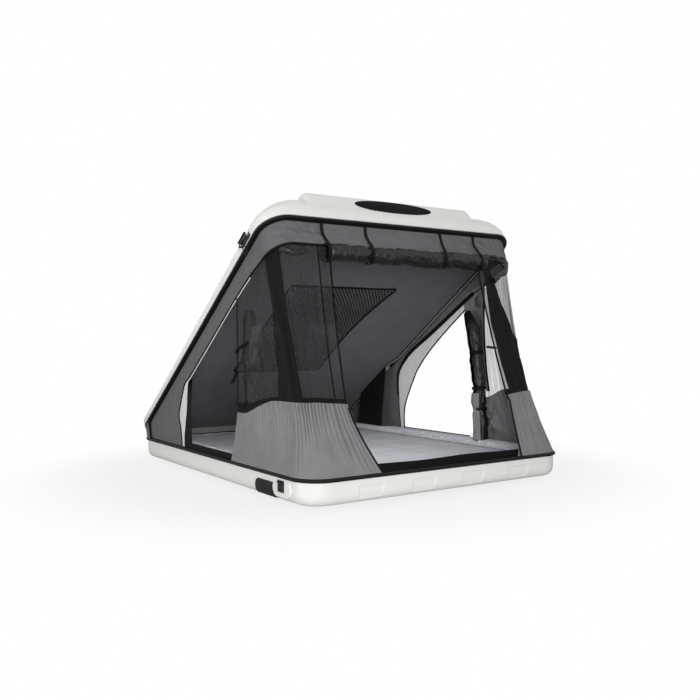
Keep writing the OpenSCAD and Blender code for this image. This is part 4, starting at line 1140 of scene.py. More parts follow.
@dataclass
class Canvas:
    """Walls, header, corner meshes and skirts.

    A run is 0 to 1 along the side from the door, to 2 round the front corner and to 3 in front.
    """

    shop: Workshop
    x: float = 730.7
    y: float = 980.7
    r: float = 106.0
    z0: float = 132.0
    lift: float = 8.0
    thick: float = 1.6
    header_side: float = 132.0
    header_front: float = 105.0
    header_out: float = 6.5
    door_front: float = -320.0
    door_rear: float = 338.0
    seam_front: float = 318.0
    seam_side: float = 248.0
    pinch: float = 42.0
    flare: float = 18.0
    foot_lift: float = 9.5
    mesh_fold: float = 9.0
    skirt_fold: float = 5.0
    seam_fold: float = 4.0
    fold_start: float = 0.4
    waves: float = 9.0
    pleat: float = 21.0
    pleat_h: float = 17.0
    flap_in: float = 3.5
    sill_h: float = 42.0
    sill_in: float = 12.0
    zip_run: float = 2.67
    gusset_in: float = -6.0

    @property
    def side_end(self) -> float:
        """Y where the side's straight ends at a corner."""
        return self.y - self.r

    @property
    def front_run(self) -> float:
        """X where the front's straight ends at a corner."""
        return self.x - self.r

    def plan(self, u: float, start: float, end: float) -> Vector:
        """Place of a run in plan, on the left."""
        if u <= 1:
            return Vector((-self.x, mix(start, -self.side_end, u), 0))
        if u <= 2:
            turn = math.pi / 2 * (1 + u)
            x = -self.front_run + self.r * math.cos(turn)
            return Vector((x, -self.side_end + self.r * math.sin(turn), 0))
        return Vector((mix(-self.front_run, -end, u - 2), -self.y, 0))

    def inward(self, u: float) -> Vector:
        """Direction into the tent at a run, on the left."""
        turn = math.pi / 2 * (1 + min(2, max(1, u)))
        return Vector((-math.cos(turn), -math.sin(turn), 0))

    def top(self, u: float, end: float) -> Vector:
        """Upper end of the cloth at a run, at the lid seal."""
        reach = TENT.hinge_y - self.door_front + self.lift * math.sin(TENT.open_angle)
        p = self.plan(u, TENT.hinge_y - reach / math.cos(TENT.open_angle), end)
        return TENT.on_lid(p.x, p.y, self.lift)

    def wall(self, u: float, z: float, end: float, inward: float) -> Vector:
        """Point on the cloth's surface at a run and a level."""
        a, b = self.top(u, end), self.plan(u, self.door_front, end)
        b.z = self.z0
        return a.lerp(b, (a.z - z) / (a.z - b.z)) + inward * self.inward(u)

    def drop(self, u: float) -> float:
        """Depth of the header at a run."""
        middle = (self.header_side + self.header_front) / 2
        if u <= 1:
            return mix(self.header_side, middle, u)
        return mix(middle, self.header_front, min(u - 1, 1))

    def header_z(self, u: float) -> float:
        """Level of the header's lower edge at a run."""
        return self.top(u, 0).z - self.drop(u)

    def seam_z(self, u: float) -> float:
        """Level of the seam between mesh and skirt at a run."""
        rise = ease((u - 0.12) / 0.62)
        return TENT.rim_z + mix(self.seam_side, self.seam_front, rise) - 14 * max(0, u - 2)

    def gather(self, u: float) -> float:
        """How far a run lies in the gathered part, from 0 to 1."""
        return math.sin(math.pi / 2 * min(1, max(0, (u - self.fold_start) / (1 - self.fold_start))))

    def wave(self, u: float) -> float:
        """The large folds that mesh and skirt share at their seam."""
        return self.gather(u) * (0.5 - 0.5 * math.cos(math.tau * self.waves * (u - self.fold_start) / 3))

    def reach(self, u: float) -> float:
        """Length of cloth from the door's front edge to a run."""
        side = self.side_end + self.door_front
        corner = math.pi / 2 * self.r
        return side * min(u, 1) + corner * min(1, max(0, u - 1)) + 170.0 * max(0, u - 2)

    def pleats(self, u: float) -> float:
        """Small uneven pleats at the seam, from -1 to 1."""
        at = self.reach(u) / self.pleat
        drift = 1.9 * noise.noise(Vector((at * 0.31, 4.0, 0)))
        height = 0.8 + 0.6 * noise.noise(Vector((at * 0.6, 0, 2)))
        return (1 - 2 * abs(math.sin(math.pi * at + drift)) ** 0.7) * height

    def cloth(
        self, bm: BMesh, name: str, finish: Finish, slot: str, stands_for: Sequence[str], flat: Pair,
        held: str, rests_on: Sequence[str], shaped: bool = False, crisp: float = 70.0,
    ) -> None:
        """Makes a sheet of cloth and gives it thickness.

        Args:
            bm: its outer face, in millimetres.
            name: the piece's name.
            finish: what it is made of.
            slot: its material slot.
            stands_for: solids that it replaces.
            flat: the cut's size in millimetres; not used.
            held: how it is held; not used.
            rests_on: what holds it; not used.
            shaped: true for a cut that isn't a rectangle, whose area is the sheet's own.
            crisp: edges that turn by more degrees than this stay sharp.
        """
        area = sum(face.calc_area() for face in bm.faces) * MM * MM if shaped else None
        bm = thickened(bm, self.thick)
        obj = self.shop.piece(bm, name, finish, Body.BASE, slot, stands_for, folds=True, crisp=crisp)
        list(rests_on)

    def binding(
        self, points: Sequence[Vector], name: str, side: Side, radius: float = 4.5, finish: Finish = TAPE
    ) -> None:
        """Bound edge of a cloth, drawn on the left."""
        bm = mirrored(pipe_mesh(points, radius, 4 * len(points)), side)
        self.shop.piece(bm, f"{side.label}_{name}", finish, Body.BASE, "black_fabric", folds=True)

    def on_wall(self, places: Sequence[Pair], inward: float = 0.0) -> list[Vector]:
        """Points of the left side wall from pairs of Y and Z."""
        return [Vector((inward - self.x, y, z)) for y, z in places]

    def side_wall(self, side: Side) -> None:
        """Side wall drawn tight between tray and lid, with its bound door edge and zip."""
        cut, label = CUTS[side], side.label
        low = self.wall(1, self.header_z(1), 0, 0)
        edge = self.on_wall(cut.wall_edge) + [Vector((-self.x, low.y, low.z))]
        foot = self.on_wall([(self.side_end, self.z0)])
        inner = spaced(foot + spaced(edge, 120), 160, smooth=False)
        rear = Vector((-self.x, self.side_end, TENT.split_z + 1))
        top_rear = TENT.on_lid(-self.x, self.side_end, self.lift)
        outer = spaced([rear, top_rear, self.top(1, 0)], 160, smooth=False)

        def place(u: float, v: float) -> Vector:
            """Point between the wall's outer and inner edge, with faint creases."""
            p = pick(outer, u).lerp(pick(inner, u), v)
            crease = 2.2 * wrinkle(p.y / 95 + p.z / 210, p.z / 150 - p.y / 300)
            p.x += 4 * v * (1 - v) * (crease + 1.4 * wrinkle(p.y / 34, p.z / 34, 3.0))
            return p

        bm = mirrored(sheet_mesh(160, 20, place, (1900, 260)), side)
        # The side wall takes the canvas toned darker as painted shade
        self.cloth(
            bm, f"{label}_wall_cloth", CANVAS_SHADED, "canvas", [f"{label}_wall"], (1900, 350), "stretched",
            ["base_seal", "lid_seal"], shaped=True,
        )
        self.binding([p + Vector((1, 0, 0)) for p in spaced(edge, 60)], "door_binding", side)
        if side is Side.RIGHT:
            zip_line = spaced(self.on_wall(cut.wall_edge[2:], 10.0), 40)
            bm = mirrored(pipe_mesh(zip_line, 11.0, 160, taper=0.4), side)
            self.shop.piece(bm, "right_door_zip", TAPE, Body.BASE, "black_fabric", folds=True)
        self.flap(side, spaced(edge[: len(cut.flap_edge)], 90))

    def flap(self, side: Side, first: Sequence[Vector]) -> None:
        """Pale flap inside a door's edge, with its bound edge and the strip beside it.

        Args:
            side: the door's side.
            first: the door's edge, drawn on the left.
        """
        cut, label = CUTS[side], side.label
        second = spaced(self.on_wall(cut.flap_edge, self.flap_in), 90)

        def place(u: float, v: float) -> Vector:
            """Point between the door's edge and the flap's own."""
            p = pick(first, u).lerp(pick(second, u), v)
            p.x = -self.x + self.flap_in + 1.5 * wrinkle(p.y / 50, p.z / 50) * v * (1 - v)
            return p

        bm = mirrored(sheet_mesh(90, 8, place, (1200, 90)), side)
        # The flap's pale canvas is partly painted light for the light that shines through it from behind
        self.cloth(
            bm, f"{label}_door_flap", CANVAS_BACKLIT, "canvas", [], (1250, cut.flap_w), "hung",
            [f"{label}_wall_cloth"], shaped=True,
        )
        # On the left the flap's binding takes the same pale canvas, partly painted light
        self.binding(second, "flap_binding", side, cut.flap_r, TAPE if side is Side.RIGHT else CANVAS_BACKLIT)
        if side is Side.LEFT:
            self.zip_strip()
        else:
            self.door_strip()

    def zip_strip(self) -> None:
        """Black strip that hangs inside the left door's rear edge."""
        outer = spaced(self.on_wall(((372, 150), (356, 250), (322, 371), (304, 484)), 7.0), 30)
        inner = spaced(self.on_wall(((258, 150), (268, 270), (276, 371), (284, 484)), 7.0), 30)

        def place(u: float, v: float) -> Vector:
            """Point across the strip, which bulges a little."""
            return pick(outer, u).lerp(pick(inner, u), v) + Vector((2 * math.sin(math.pi * v), 0, 0))

        bm = sheet_mesh(30, 6, place, (340, 60))
        self.cloth(
            bm, "left_zip_strip", TAPE, "black_fabric", [], (340, 115), "hung", ["left_door_flap"],
            shaped=True,
        )

    def door_strip(self) -> None:
        """Grey strip in front of the right door, with a bound edge."""
        front = ((-450, 1030), (-448, 940), (-447, 829), (-450, 706), (-464, 538), (-484, 420))
        rear = ((-290, 965), (-286, 876), (-366, 815), (-410, 690), (-434, 540), (-458, 420))
        outer, inner = (spaced(self.on_wall(places, 4.0), 40) for places in (front, rear))

        def place(u: float, v: float) -> Vector:
            """Point across the strip, which is crumpled a little."""
            bulge = 3 * wrinkle(4 * v, 9 * u) * math.sin(math.pi * v)
            return pick(outer, u).lerp(pick(inner, u), v) + Vector((bulge, 0, 0))

        bm = mirrored(sheet_mesh(40, 10, place, (590, 80)), Side.RIGHT)
        self.cloth(
            bm, "right_door_strip", CANVAS, "canvas", [], (600, 125), "hung", ["right_wall_cloth"],
            shaped=True,
        )
        self.binding(outer, "strip_binding", Side.RIGHT)

    def rear_wall(self) -> None:
        """Low rear wall round the two rear corners."""
        run_x, run_y = self.front_run, self.side_end + 1
        turn = steps(12, 0, math.pi / 2)
        right = [(run_x + self.r * math.cos(a), run_y + (self.r - 1) * math.sin(a)) for a in turn]
        path = right + [(mix(run_x, -run_x, t), run_y + self.r - 1) for t in steps(24)[1:-1]]
        path += [(-x, y) for x, y in reversed(right)]

        def place(u: float, v: float) -> Vector:
            """Point between tray and lid, with faint creases."""
            x, y = pick(path, u)
            p = Vector((x, y, self.z0)).lerp(TENT.on_lid(x, y, self.lift), v)
            p.y -= 8 * v * (1 - v) * (1 + wrinkle(x / 60, p.z / 40))
            p.x *= 1 - 0.0011
            return p

        bm = sheet_mesh(len(path) - 1, 8, place, (1650, 70))
        self.cloth(
            bm, "rear_wall_cloth", CANVAS, "canvas", ["rear_wall"], (1650, 90), "hung",
            ["base_seal", "lid_seal"], shaped=True,
        )

    def gusset(self, side: Side) -> None:
        """Cloth that closes the wedge between tray and lid round a rear corner, at the seals."""
        half_x, half_y = TENT.tray_w / 2 - self.gusset_in, TENT.tray_d / 2 - self.gusset_in
        r = TENT.corner_r - self.gusset_in
        path = [(-half_x, y) for y in steps(4, half_y - r - 30, half_y - r)[:-1]]
        path += [
            (r - half_x - r * math.cos(a), half_y - r + r * math.sin(a)) for a in steps(24, 0, math.pi / 2)
        ]

        def place(u: float, v: float) -> Vector:
            """Point between the two seals."""
            x, y = pick(path, u)
            return Vector((x, y, TENT.split_z - 2)).lerp(TENT.on_lid(x, y, self.lift), v)

        bm = mirrored(sheet_mesh(len(path) - 1, 6, place, (210, 100)), side)
        # The gusset takes the canvas toned darker as painted shade
        self.cloth(
            bm, f"{side.label}_rear_gusset", CANVAS_SHADED, "canvas", [], (210, 100), "hung",
            ["base_seal", "lid_seal"], shaped=True,
        )

    def header(self) -> None:
        """Header band under the lid edge, with creases that run from its ends and straps."""

        def place(u: float, v: float) -> Vector:
            """Point of the band from the left corner to the right one."""
            run = 1 + 4 * u
            h = 6 - run if run > 3 else run
            z = self.top(h, 0).z - self.drop(h) * v
            x = self.wall(h, z, 0, 0).x * (-1 if run > 3 else 1)
            free = min(1, 2.5 * (h - 1))
            near = bell(x, -500, 150) + 0.8 * bell(x, 470, 110) + 0.25
            slant = ridge((x + 2.6 * z) / 190, (z - 0.35 * x) / 52, 1.7)
            crumple = ridge((x - 1.8 * z) / 80, (z + 0.6 * x) / 38, 5.1)
            loose = math.sin(math.pi / 2 * v) * free
            held = math.sin(math.pi * min(1, v + 0.04)) * free
            fold = loose * (2.5 * wrinkle(x / 120, z / 60) - 4.0)
            fold += held * near * (8.0 * slant + 6.0 * crumple)
            p = self.wall(h, z, 0, max(-self.header_out, fold))
            return Vector((x, p.y, p.z - 2.2 * v * math.sin(x / 57.0) ** 2))

        bm = sheet_mesh(320, 22, place, (2050, 110))
        # The header takes the canvas toned darker as painted shade
        self.cloth(
            bm, "front_header_cloth", CANVAS_SHADED, "canvas", ["front_header"], (2050, 135), "hung",
            ["lid_seal"], shaped=True, crisp=80,
        )
        for side in Side:
            edge = [self.wall(u, self.header_z(u) - 4, 0, -2) for u in steps(24, 1.0, 2.3)]
            self.binding(edge, "header_binding", side, 6.0)

    def mesh_point(self, side: Side, u: float, t: float, out: float = 0.0) -> Vector:
        """Point of a corner mesh, drawn on the left, from the header at 0 to the skirt at 1."""
        opening = CUTS[side].opening
        z = mix(self.header_z(u) + 12, self.seam_z(u) + 0.5, t)
        depth = 4.0 - out + self.gather(u) * self.pinch * math.sin(math.pi / 2 * t)
        depth += (self.mesh_fold * math.sin(math.pi * t) + self.seam_fold * t) * self.wave(u)
        depth += min(1, 8 * u) * (0.8 + 3.0 * t * t) * self.pleats(u)
        return self.wall(u, z, mix(opening[0], opening[1], t), depth)

    def skirt_point(self, side: Side, u: float, t: float, out: float = 0.0) -> Vector:
        """Point of a corner skirt, drawn on the left, from the seam at 0 to the tray at 1."""
        cut = CUTS[side]
        z = mix(self.seam_z(u), self.z0 + self.foot_lift, t)
        start = min(1, 8 * u)
        drawn = math.cos(math.pi / 2 * t) if side is Side.LEFT else 1 - t
        depth = self.gather(u) * self.pinch * drawn - out - self.flare * t**1.5
        depth += (self.skirt_fold * math.sin(math.pi * t) + self.seam_fold * (1 - t)) * self.wave(u)
        near = max(bell(u, 2.75, 0.3), 0.8 * bell(u, 1.25, 0.16))
        fade = (1 - t) ** mix(1.5, 0.55, near) * mix(math.exp(-1.6 * t), 1, near)
        front = mix(0.25, 1, ease((u - 0.35) / 0.5))
        depth += start * front * self.pleat_h * fade * self.pleats(u + 0.02 * t)
        reach = self.reach(u)
        crease = wrinkle(reach / 52 + 2.6 * t, 3.6 * t - reach / 110) * math.sin(math.pi * t)
        depth += (cut.crumple * (1 - ease(2 * u - 0.7)) + 1.6) * crease * start
        return self.wall(u, z, mix(cut.opening[1], cut.opening[2], t**1.25), depth)

    def rear_run(self, side: Side, t: float, skirt: bool = False) -> float:
        """Run at which a corner's mesh or skirt begins, at a share of its height."""
        rear = CUTS[side].rear
        return mix(rear[1], rear[2], t) if skirt else mix(rear[0], rear[1], t)

    def corner(self, side: Side) -> None:
        """Mesh and skirt of a front corner, with their bound edges, zip and dense band."""
        cut, label = CUTS[side], side.label

        def mesh(u: float, v: float) -> Vector:
            """Point of the mesh."""
            return self.mesh_point(side, mix(self.rear_run(side, v), 3, u), v)

        def skirt(u: float, v: float) -> Vector:
            """Point of the skirt."""
            return self.skirt_point(side, mix(self.rear_run(side, v, True), 3, u), v)

        def band(u: float, v: float) -> Vector:
            """Point of the dense band, whose edges run straight from row to row."""
            k = max(i for i in range(len(cut.band) - 1) if cut.band[i][0] <= v)
            (v0, first0, last0), (v1, first1, last1) = cut.band[k : k + 2]
            f = (v - v0) / (v1 - v0)
            run = mix(mix(first0, first1, f), mix(last0, last1, f), u)
            return self.mesh_point(side, run, v, (5 + 2.5 * wrinkle(run * 4, v * 6)) * min(1, 8 * v))

        bm = mirrored(sheet_mesh(360, 40, mesh, (900, 600)), side)
        net = self.shop.piece(
            bm, f"{label}_corner_net", MESH, Body.BASE, "mesh", [f"{label}_corner_mesh"], folds=True,
            crisp=80,
        )
        bm = mirrored(sheet_mesh(420, 36, skirt, (950, 300)), side)
        self.cloth(
            bm, f"{label}_skirt_cloth", CANVAS, "canvas", [f"{label}_corner_skirt"], (1050, 300), "gathered",
            ["base_seal"], crisp=85,
        )
        front = [self.mesh_point(side, 3, t, 2) for t in steps(16)]
        front += [self.skirt_point(side, 3, t, 2) for t in steps(10)[1:]]
        self.binding(front, "front_binding", side)
        self.binding([self.mesh_point(side, self.zip_run, t, 3) for t in steps(16)], "zip_tape", side, 3.5)
        rear = [self.mesh_point(side, self.rear_run(side, t), t, 2) for t in steps(10)]
        self.binding(rear, "mesh_binding", side, 3.0)
        if side is Side.RIGHT:
            rear = [self.skirt_point(side, self.rear_run(side, t, True), t, -2) for t in steps(10)]
            self.binding(rear, "skirt_binding", side, 9.0)
        self.hem(side)
        bm = mirrored(sheet_mesh(24, 48, band, (80, 680)), side)
        self.cloth(
            bm, f"{label}_corner_band", TAPE, "black_fabric", [], (260, 700), "hung", ["front_header_cloth"],
            shaped=True, crisp=80,
        )
        self.loop(side)

    def hem(self, side: Side) -> None:
        """Gathered hem where the mesh meets the skirt."""
        cut = CUTS[side]

        def place(u: float, v: float) -> Vector:
            """Point of the crushed hem."""
            run = mix(cut.hem_run, 3, u)
            crush = 3.5 * wrinkle(self.reach(run) / 9, 6 * v) * min(1, 8 * run)
            high = mix(0.915, 0.972, ease(run / 0.7))
            return self.mesh_point(side, run, mix(high, 1.0, v), 4 + crush) + Vector((0, 0, -3 * v))

        bm = mirrored(sheet_mesh(300, 5, place, (950, 20)), side)
        self.cloth(
            bm, f"{side.label}_mesh_hem", TAPE, "black_fabric", [], cut.hem, "gathered",
            [f"{side.label}_skirt_cloth"], crisp=85,
        )

    def loop(self, side: Side) -> None:
        """Slack of the corner band that droops under the header in a crumpled loop."""
        cut = CUTS[side]
        path = [self.wall(u, self.header_z(u) - fall, 470, cut.loop_in) for u, fall in cut.loop]

        def place(u: float, v: float) -> Vector:
            """Point of the loop's flattened, crumpled section."""
            a, b = math.cos(math.tau * u), math.sin(math.tau * u)
            run = heading(path, v, 0.01)
            first = run.cross(Vector((0.2, 0.9, 0.1))).normalized()
            size = cut.loop_r + 6 * wrinkle(9 * v, 1.5 * a, 1.5 * b)
            return along_path(path, v) + first * (size * a) + run.cross(first) * (0.6 * size * b)

        bm = mirrored(closed_up(sheet_mesh(18, 60, place, (90, 300))), side)
        name = f"{side.label}_band_loop"
        obj = self.shop.piece(bm, name, NYLON, Body.BASE, "black_fabric", folds=True, crisp=80)

    def toggles(self) -> None:
        """Small ties with bars at the meshes' rear edges."""
        spots = {
            "upper": ((-322, 655), (-352, 676), (-438, 700)),
            "middle": ((-322, 563), (-290, 523), (-262, 511)),
            "lower": ((-322, 412), (-380, 414), (-430, 422)),
        }
        for name, places in spots.items():
            self.binding(self.on_wall(places, -5.0), f"{name}_toggle", Side.LEFT, 8.0)
        self.binding(self.on_wall(((-462, 668), (-500, 664), (-532, 662)), -4.0), "toggle", Side.RIGHT, 7.0)

    def front_sill(self) -> None:
        """Sill of the front door: dense black tape inside the tray's rim."""
        left, right = (CUTS[side].opening[2] for side in Side)

        def place(u: float, v: float) -> Vector:
            """Point of the tape, whose ends follow the skirts."""
            x = mix(-left - 2 - 14 * v, right + 2 + 8 * v, u)
            sag = 2.5 * math.sin(x / 90.0) * v
            y = -self.y + self.sill_in + 1.2 * wrinkle(x / 60, 3 * v)
            return Vector((x, y, self.z0 + (self.sill_h + sag) * v))

        bm = sheet_mesh(90, 6, place, (850, self.sill_h))
        self.cloth(
            bm, "front_sill_tape", TAPE, "black_fabric", ["front_sill"], (842, 42), "hung", ["base_seal"]
        )

    def side_sill(self, side: Side) -> None:
        """Sill of a side door, with a bound edge."""
        height, label = CUTS[side].sill_h, side.label

        def place(u: float, v: float) -> Vector:
            """Point of the tape along the door."""
            y = mix(self.door_front + 2, self.door_rear, u)
            return Vector((-self.x + 0.8 * wrinkle(y / 60, 3 * v), y, self.z0 + height * v))

        bm = mirrored(sheet_mesh(60, 4, place, (660, height)), side)
        finish = TAPE if side is Side.LEFT else TICKING
        self.cloth(
            bm, f"{label}_sill_tape", finish, "black_fabric", [f"{label}_sill"], (656, height), "hung",
            ["base_seal"],
        )
        self.binding([place(u, 1.0) for u in steps(20)], "sill_binding", side, 3.0)

    def build(self) -> None:
        """Builds all the canvas and mesh."""
        for side in Side:
            self.side_wall(side)
            self.gusset(side)
            self.corner(side)
        self.rear_wall()
        self.header()
        self.toggles()
        self.front_sill()
        for side in Side:
            self.side_sill(side)


# Middle of each side roll as Y and Z in millimetres, from its foot
SIDE_ROLLS = {
    Side.LEFT: ((-404, 178), (-397, 330), (-386, 490), (-374, 670), (-360, 852)),
    Side.RIGHT: (
        (-462, 152), (-456, 300), (-449, 420), (-439, 540), (-424, 673), (-398, 778), (-353, 866),
    ),
}


@dataclass(frozen=True)
class Roll:
    """A door wound into a loose roll, crumpled and drawn in at its ties.

    Points that its middle passes; radius at a share of the length; shares of the length that have a tie;
    place in the noise; radius of its hollow; turns; share of the wound length that is cloth; width and
    depth of a tie's waist; how far the creases of an upright roll are drawn out.
    """

    spine: Sequence[Vector]
    girth: Girth
    ties: Sequence[float]
    seed: float
    core_r: float = 12.0
    turns: float = 3.2
    cloth: float = 0.95
    waist: Pair = (24.0, 0.16)
    upright: float = 3.2

    @property
    def length(self) -> float:
        """Length along its middle."""
        return length_of(self.spine)

    @property
    def wound(self) -> float:
        """Length of its spiral."""
        return math.pi * (self.core_r + self.girth(0.5)) * self.turns

    def point(self, u: float, angle: float, spot: float) -> Vector:
        """Point of the crumpled roll.

        Args:
            u: share of the length.
            angle: angle round it.
            spot: share of the radius.

        Returns:
            The point, in millimetres.
        """
        span = self.spine[-1] - self.spine[0]
        at = u * span.length / (1.0 if abs(span.x) > 1 else self.upright)
        axis = heading(self.spine, u, 0.01)
        first = axis.cross(Vector((0, 0, 1)) if abs(axis.z) < 0.7 else Vector((1, 0, 0))).normalized()
        tie = sum(math.exp(-(((u - s) * span.length / self.waist[0]) ** 2)) for s in self.ties)
        a, b = math.cos(angle), math.sin(angle)
        lump = 0.9 + 0.12 * wrinkle(at / 60, 1.2 * a + self.seed, 1.2 * b)
        lump += 0.1 * ridge(at / 34, 1.9 * a + self.seed, 1.9 * b)
        lump += 0.06 * ridge(at / 17, 3.2 * a + self.seed, 3.2 * b)
        size = self.girth(u) * spot * min(1.06, max(0.62, lump)) * (1 - self.waist[1] * min(tie, 1))
        sway = 2.0 * math.sin(u * 19 + self.seed)
        return along_path(self.spine, u) + first * (size * a) + axis.cross(first) * (size * b + sway)

    def mesh(self) -> BMesh:
        """The open spiral sheet."""
        core = self.core_r / self.girth(0.5)

        def place(u: float, v: float) -> Vector:
            """Point of the spiral from its hollow out."""
            return self.point(u, math.tau * self.turns * v, mix(core, 1.0, v))

        return sheet_mesh(220, 110, place, (self.length, self.wound))


@dataclass
class Rolls:
    """Rolled-up doors with their straps and ties."""

    shop: Workshop
    canvas: Canvas
    front_r: float = 45.0
    front_x: Pair = (-462.0, 496.0)
    front_out: float = 8.0
    front_low: float = 36.0
    side_r: float = 42.0
    side_top_r: float = 22.0
    side_x: float = 684.0
    side_ties: Triple = (0.2, 0.36, 0.62)
    foot_t: float = 1.2
    strap_w: float = 16.0
    strap_t: float = 1.8
    strap_gap: float = 2.0
    strap_len: float = 330.0
    strap_x: tuple[float, ...] = (-460.0, -221.0, 221.0, 458.0)

    def door(self, name: str, node: str, roll: Roll) -> None:
        """Makes a rolled door."""
        obj = self.shop.piece(
            roll.mesh(), name, NYLON, Body.BASE, "black_fabric", [node], folds=True, crisp=80
        )
        flat = (roll.length * MM, roll.wound * roll.cloth * MM)

    def webbing(
        self, bands: Sequence[BMesh], name: str, node: str, length: float
    ) -> None:
        """Makes one piece of several straps.

        Args:
            bands: the straps.
            name: the piece's name.
            node: the solid it replaces.
            length: length of each strap in millimetres; not used.
        """
        bm = joined(bands)
        obj = self.shop.piece(bm, name, TAPE, Body.BASE, "black_fabric", [node], folds=True)

    def front(self) -> None:
        """Front door rolled up under the header, with its four straps."""
        at = self.canvas.wall(3, self.canvas.header_z(3), 0, 0)
        y, z = at.y - self.front_out, at.z - self.front_low
        left, right = self.front_x
        ties = [(x - left) / (right - left) for x in self.strap_x]
        spine = [Vector((mix(left, right, t), y, z)) for t in steps(4)]
        self.door("front_door_cloth", "front_door_roll", Roll(spine, lambda _: self.front_r, ties, 2.0))
        top = TENT.on_lid(0, -self.canvas.y - 8, -0.5)
        ring = self.front_r * 0.9 + self.strap_gap
        straps = []
        for k, x in enumerate(self.strap_x):
            lean = 9.0 * math.sin(2.1 * k + 0.6)
            points = [
                Vector((x - lean, top.y - 1.2, top.z)),
                Vector((x - lean * 1.4, mix(top.y, y, 0.3) - 5, mix(top.z, z, 0.35))),
                Vector((x - lean * 0.3, y - 26, z + ring * 0.95)),
            ]
            for a in steps(9, 2.3, 2.3 + math.tau * 0.94):
                points.append(Vector((x, y + ring * math.cos(a), z + ring * math.sin(a))))
            straps.append(band_mesh(points, Vector((1, 0, 0)), self.strap_w, self.strap_t, 90))
        self.webbing(straps, "front_strap_tapes", "front_roll_straps", self.strap_len)

    def side(self, side: Side) -> None:
        """Side door rolled up beside its opening, with its foot and three ties."""
        label = side.label
        spine = [Vector((side.value * self.side_x, y, z)) for y, z in SIDE_ROLLS[side]]

        def girth(u: float) -> float:
            """Radius, which falls off at the upper end."""
            return mix(self.side_r, self.side_top_r, ease((u - 0.82) / 0.18))

        roll = Roll(spine, girth, self.side_ties, 9.0 + side.value)
        self.door(f"{label}_door_cloth", f"{label}_door_roll", roll)
        self.foot(side, roll)
        across = Vector((1, 0, 0))
        ring = self.side_r * 0.88 + self.strap_gap
        ties = []
        for share in self.side_ties:
            centre, axis = along_path(spine, share), heading(spine, share, 0.02)
            other = axis.cross(across)
            turn = steps(12, 0.2, math.tau * 0.98)
            points = [centre + ring * (math.cos(a) * across + math.sin(a) * other) for a in turn]
            ties.append(band_mesh(points, axis, self.strap_w, self.strap_t, 60))
        self.webbing(ties, f"{label}_tie_tapes", f"{label}_roll_ties", math.tau * ring)

    def foot(self, side: Side, roll: Roll) -> None:
        """Grey canvas foot of a side door, wound over the lower end of its roll."""

        def place(u: float, v: float) -> Vector:
            """Point just outside the roll."""
            return roll.point(mix(0.0, 0.32, u), mix(0.1, 2.3, v), 1.05)

        label = side.label
        bm = thickened(sheet_mesh(60, 24, place, (220, 90)), self.foot_t)
        obj = self.shop.piece(bm, f"{label}_door_foot", CANVAS, Body.BASE, "canvas", folds=True, crisp=80)

    def build(self) -> None:
        """Builds the rolls."""
        self.front()
        for side in Side:
            self.side(side)


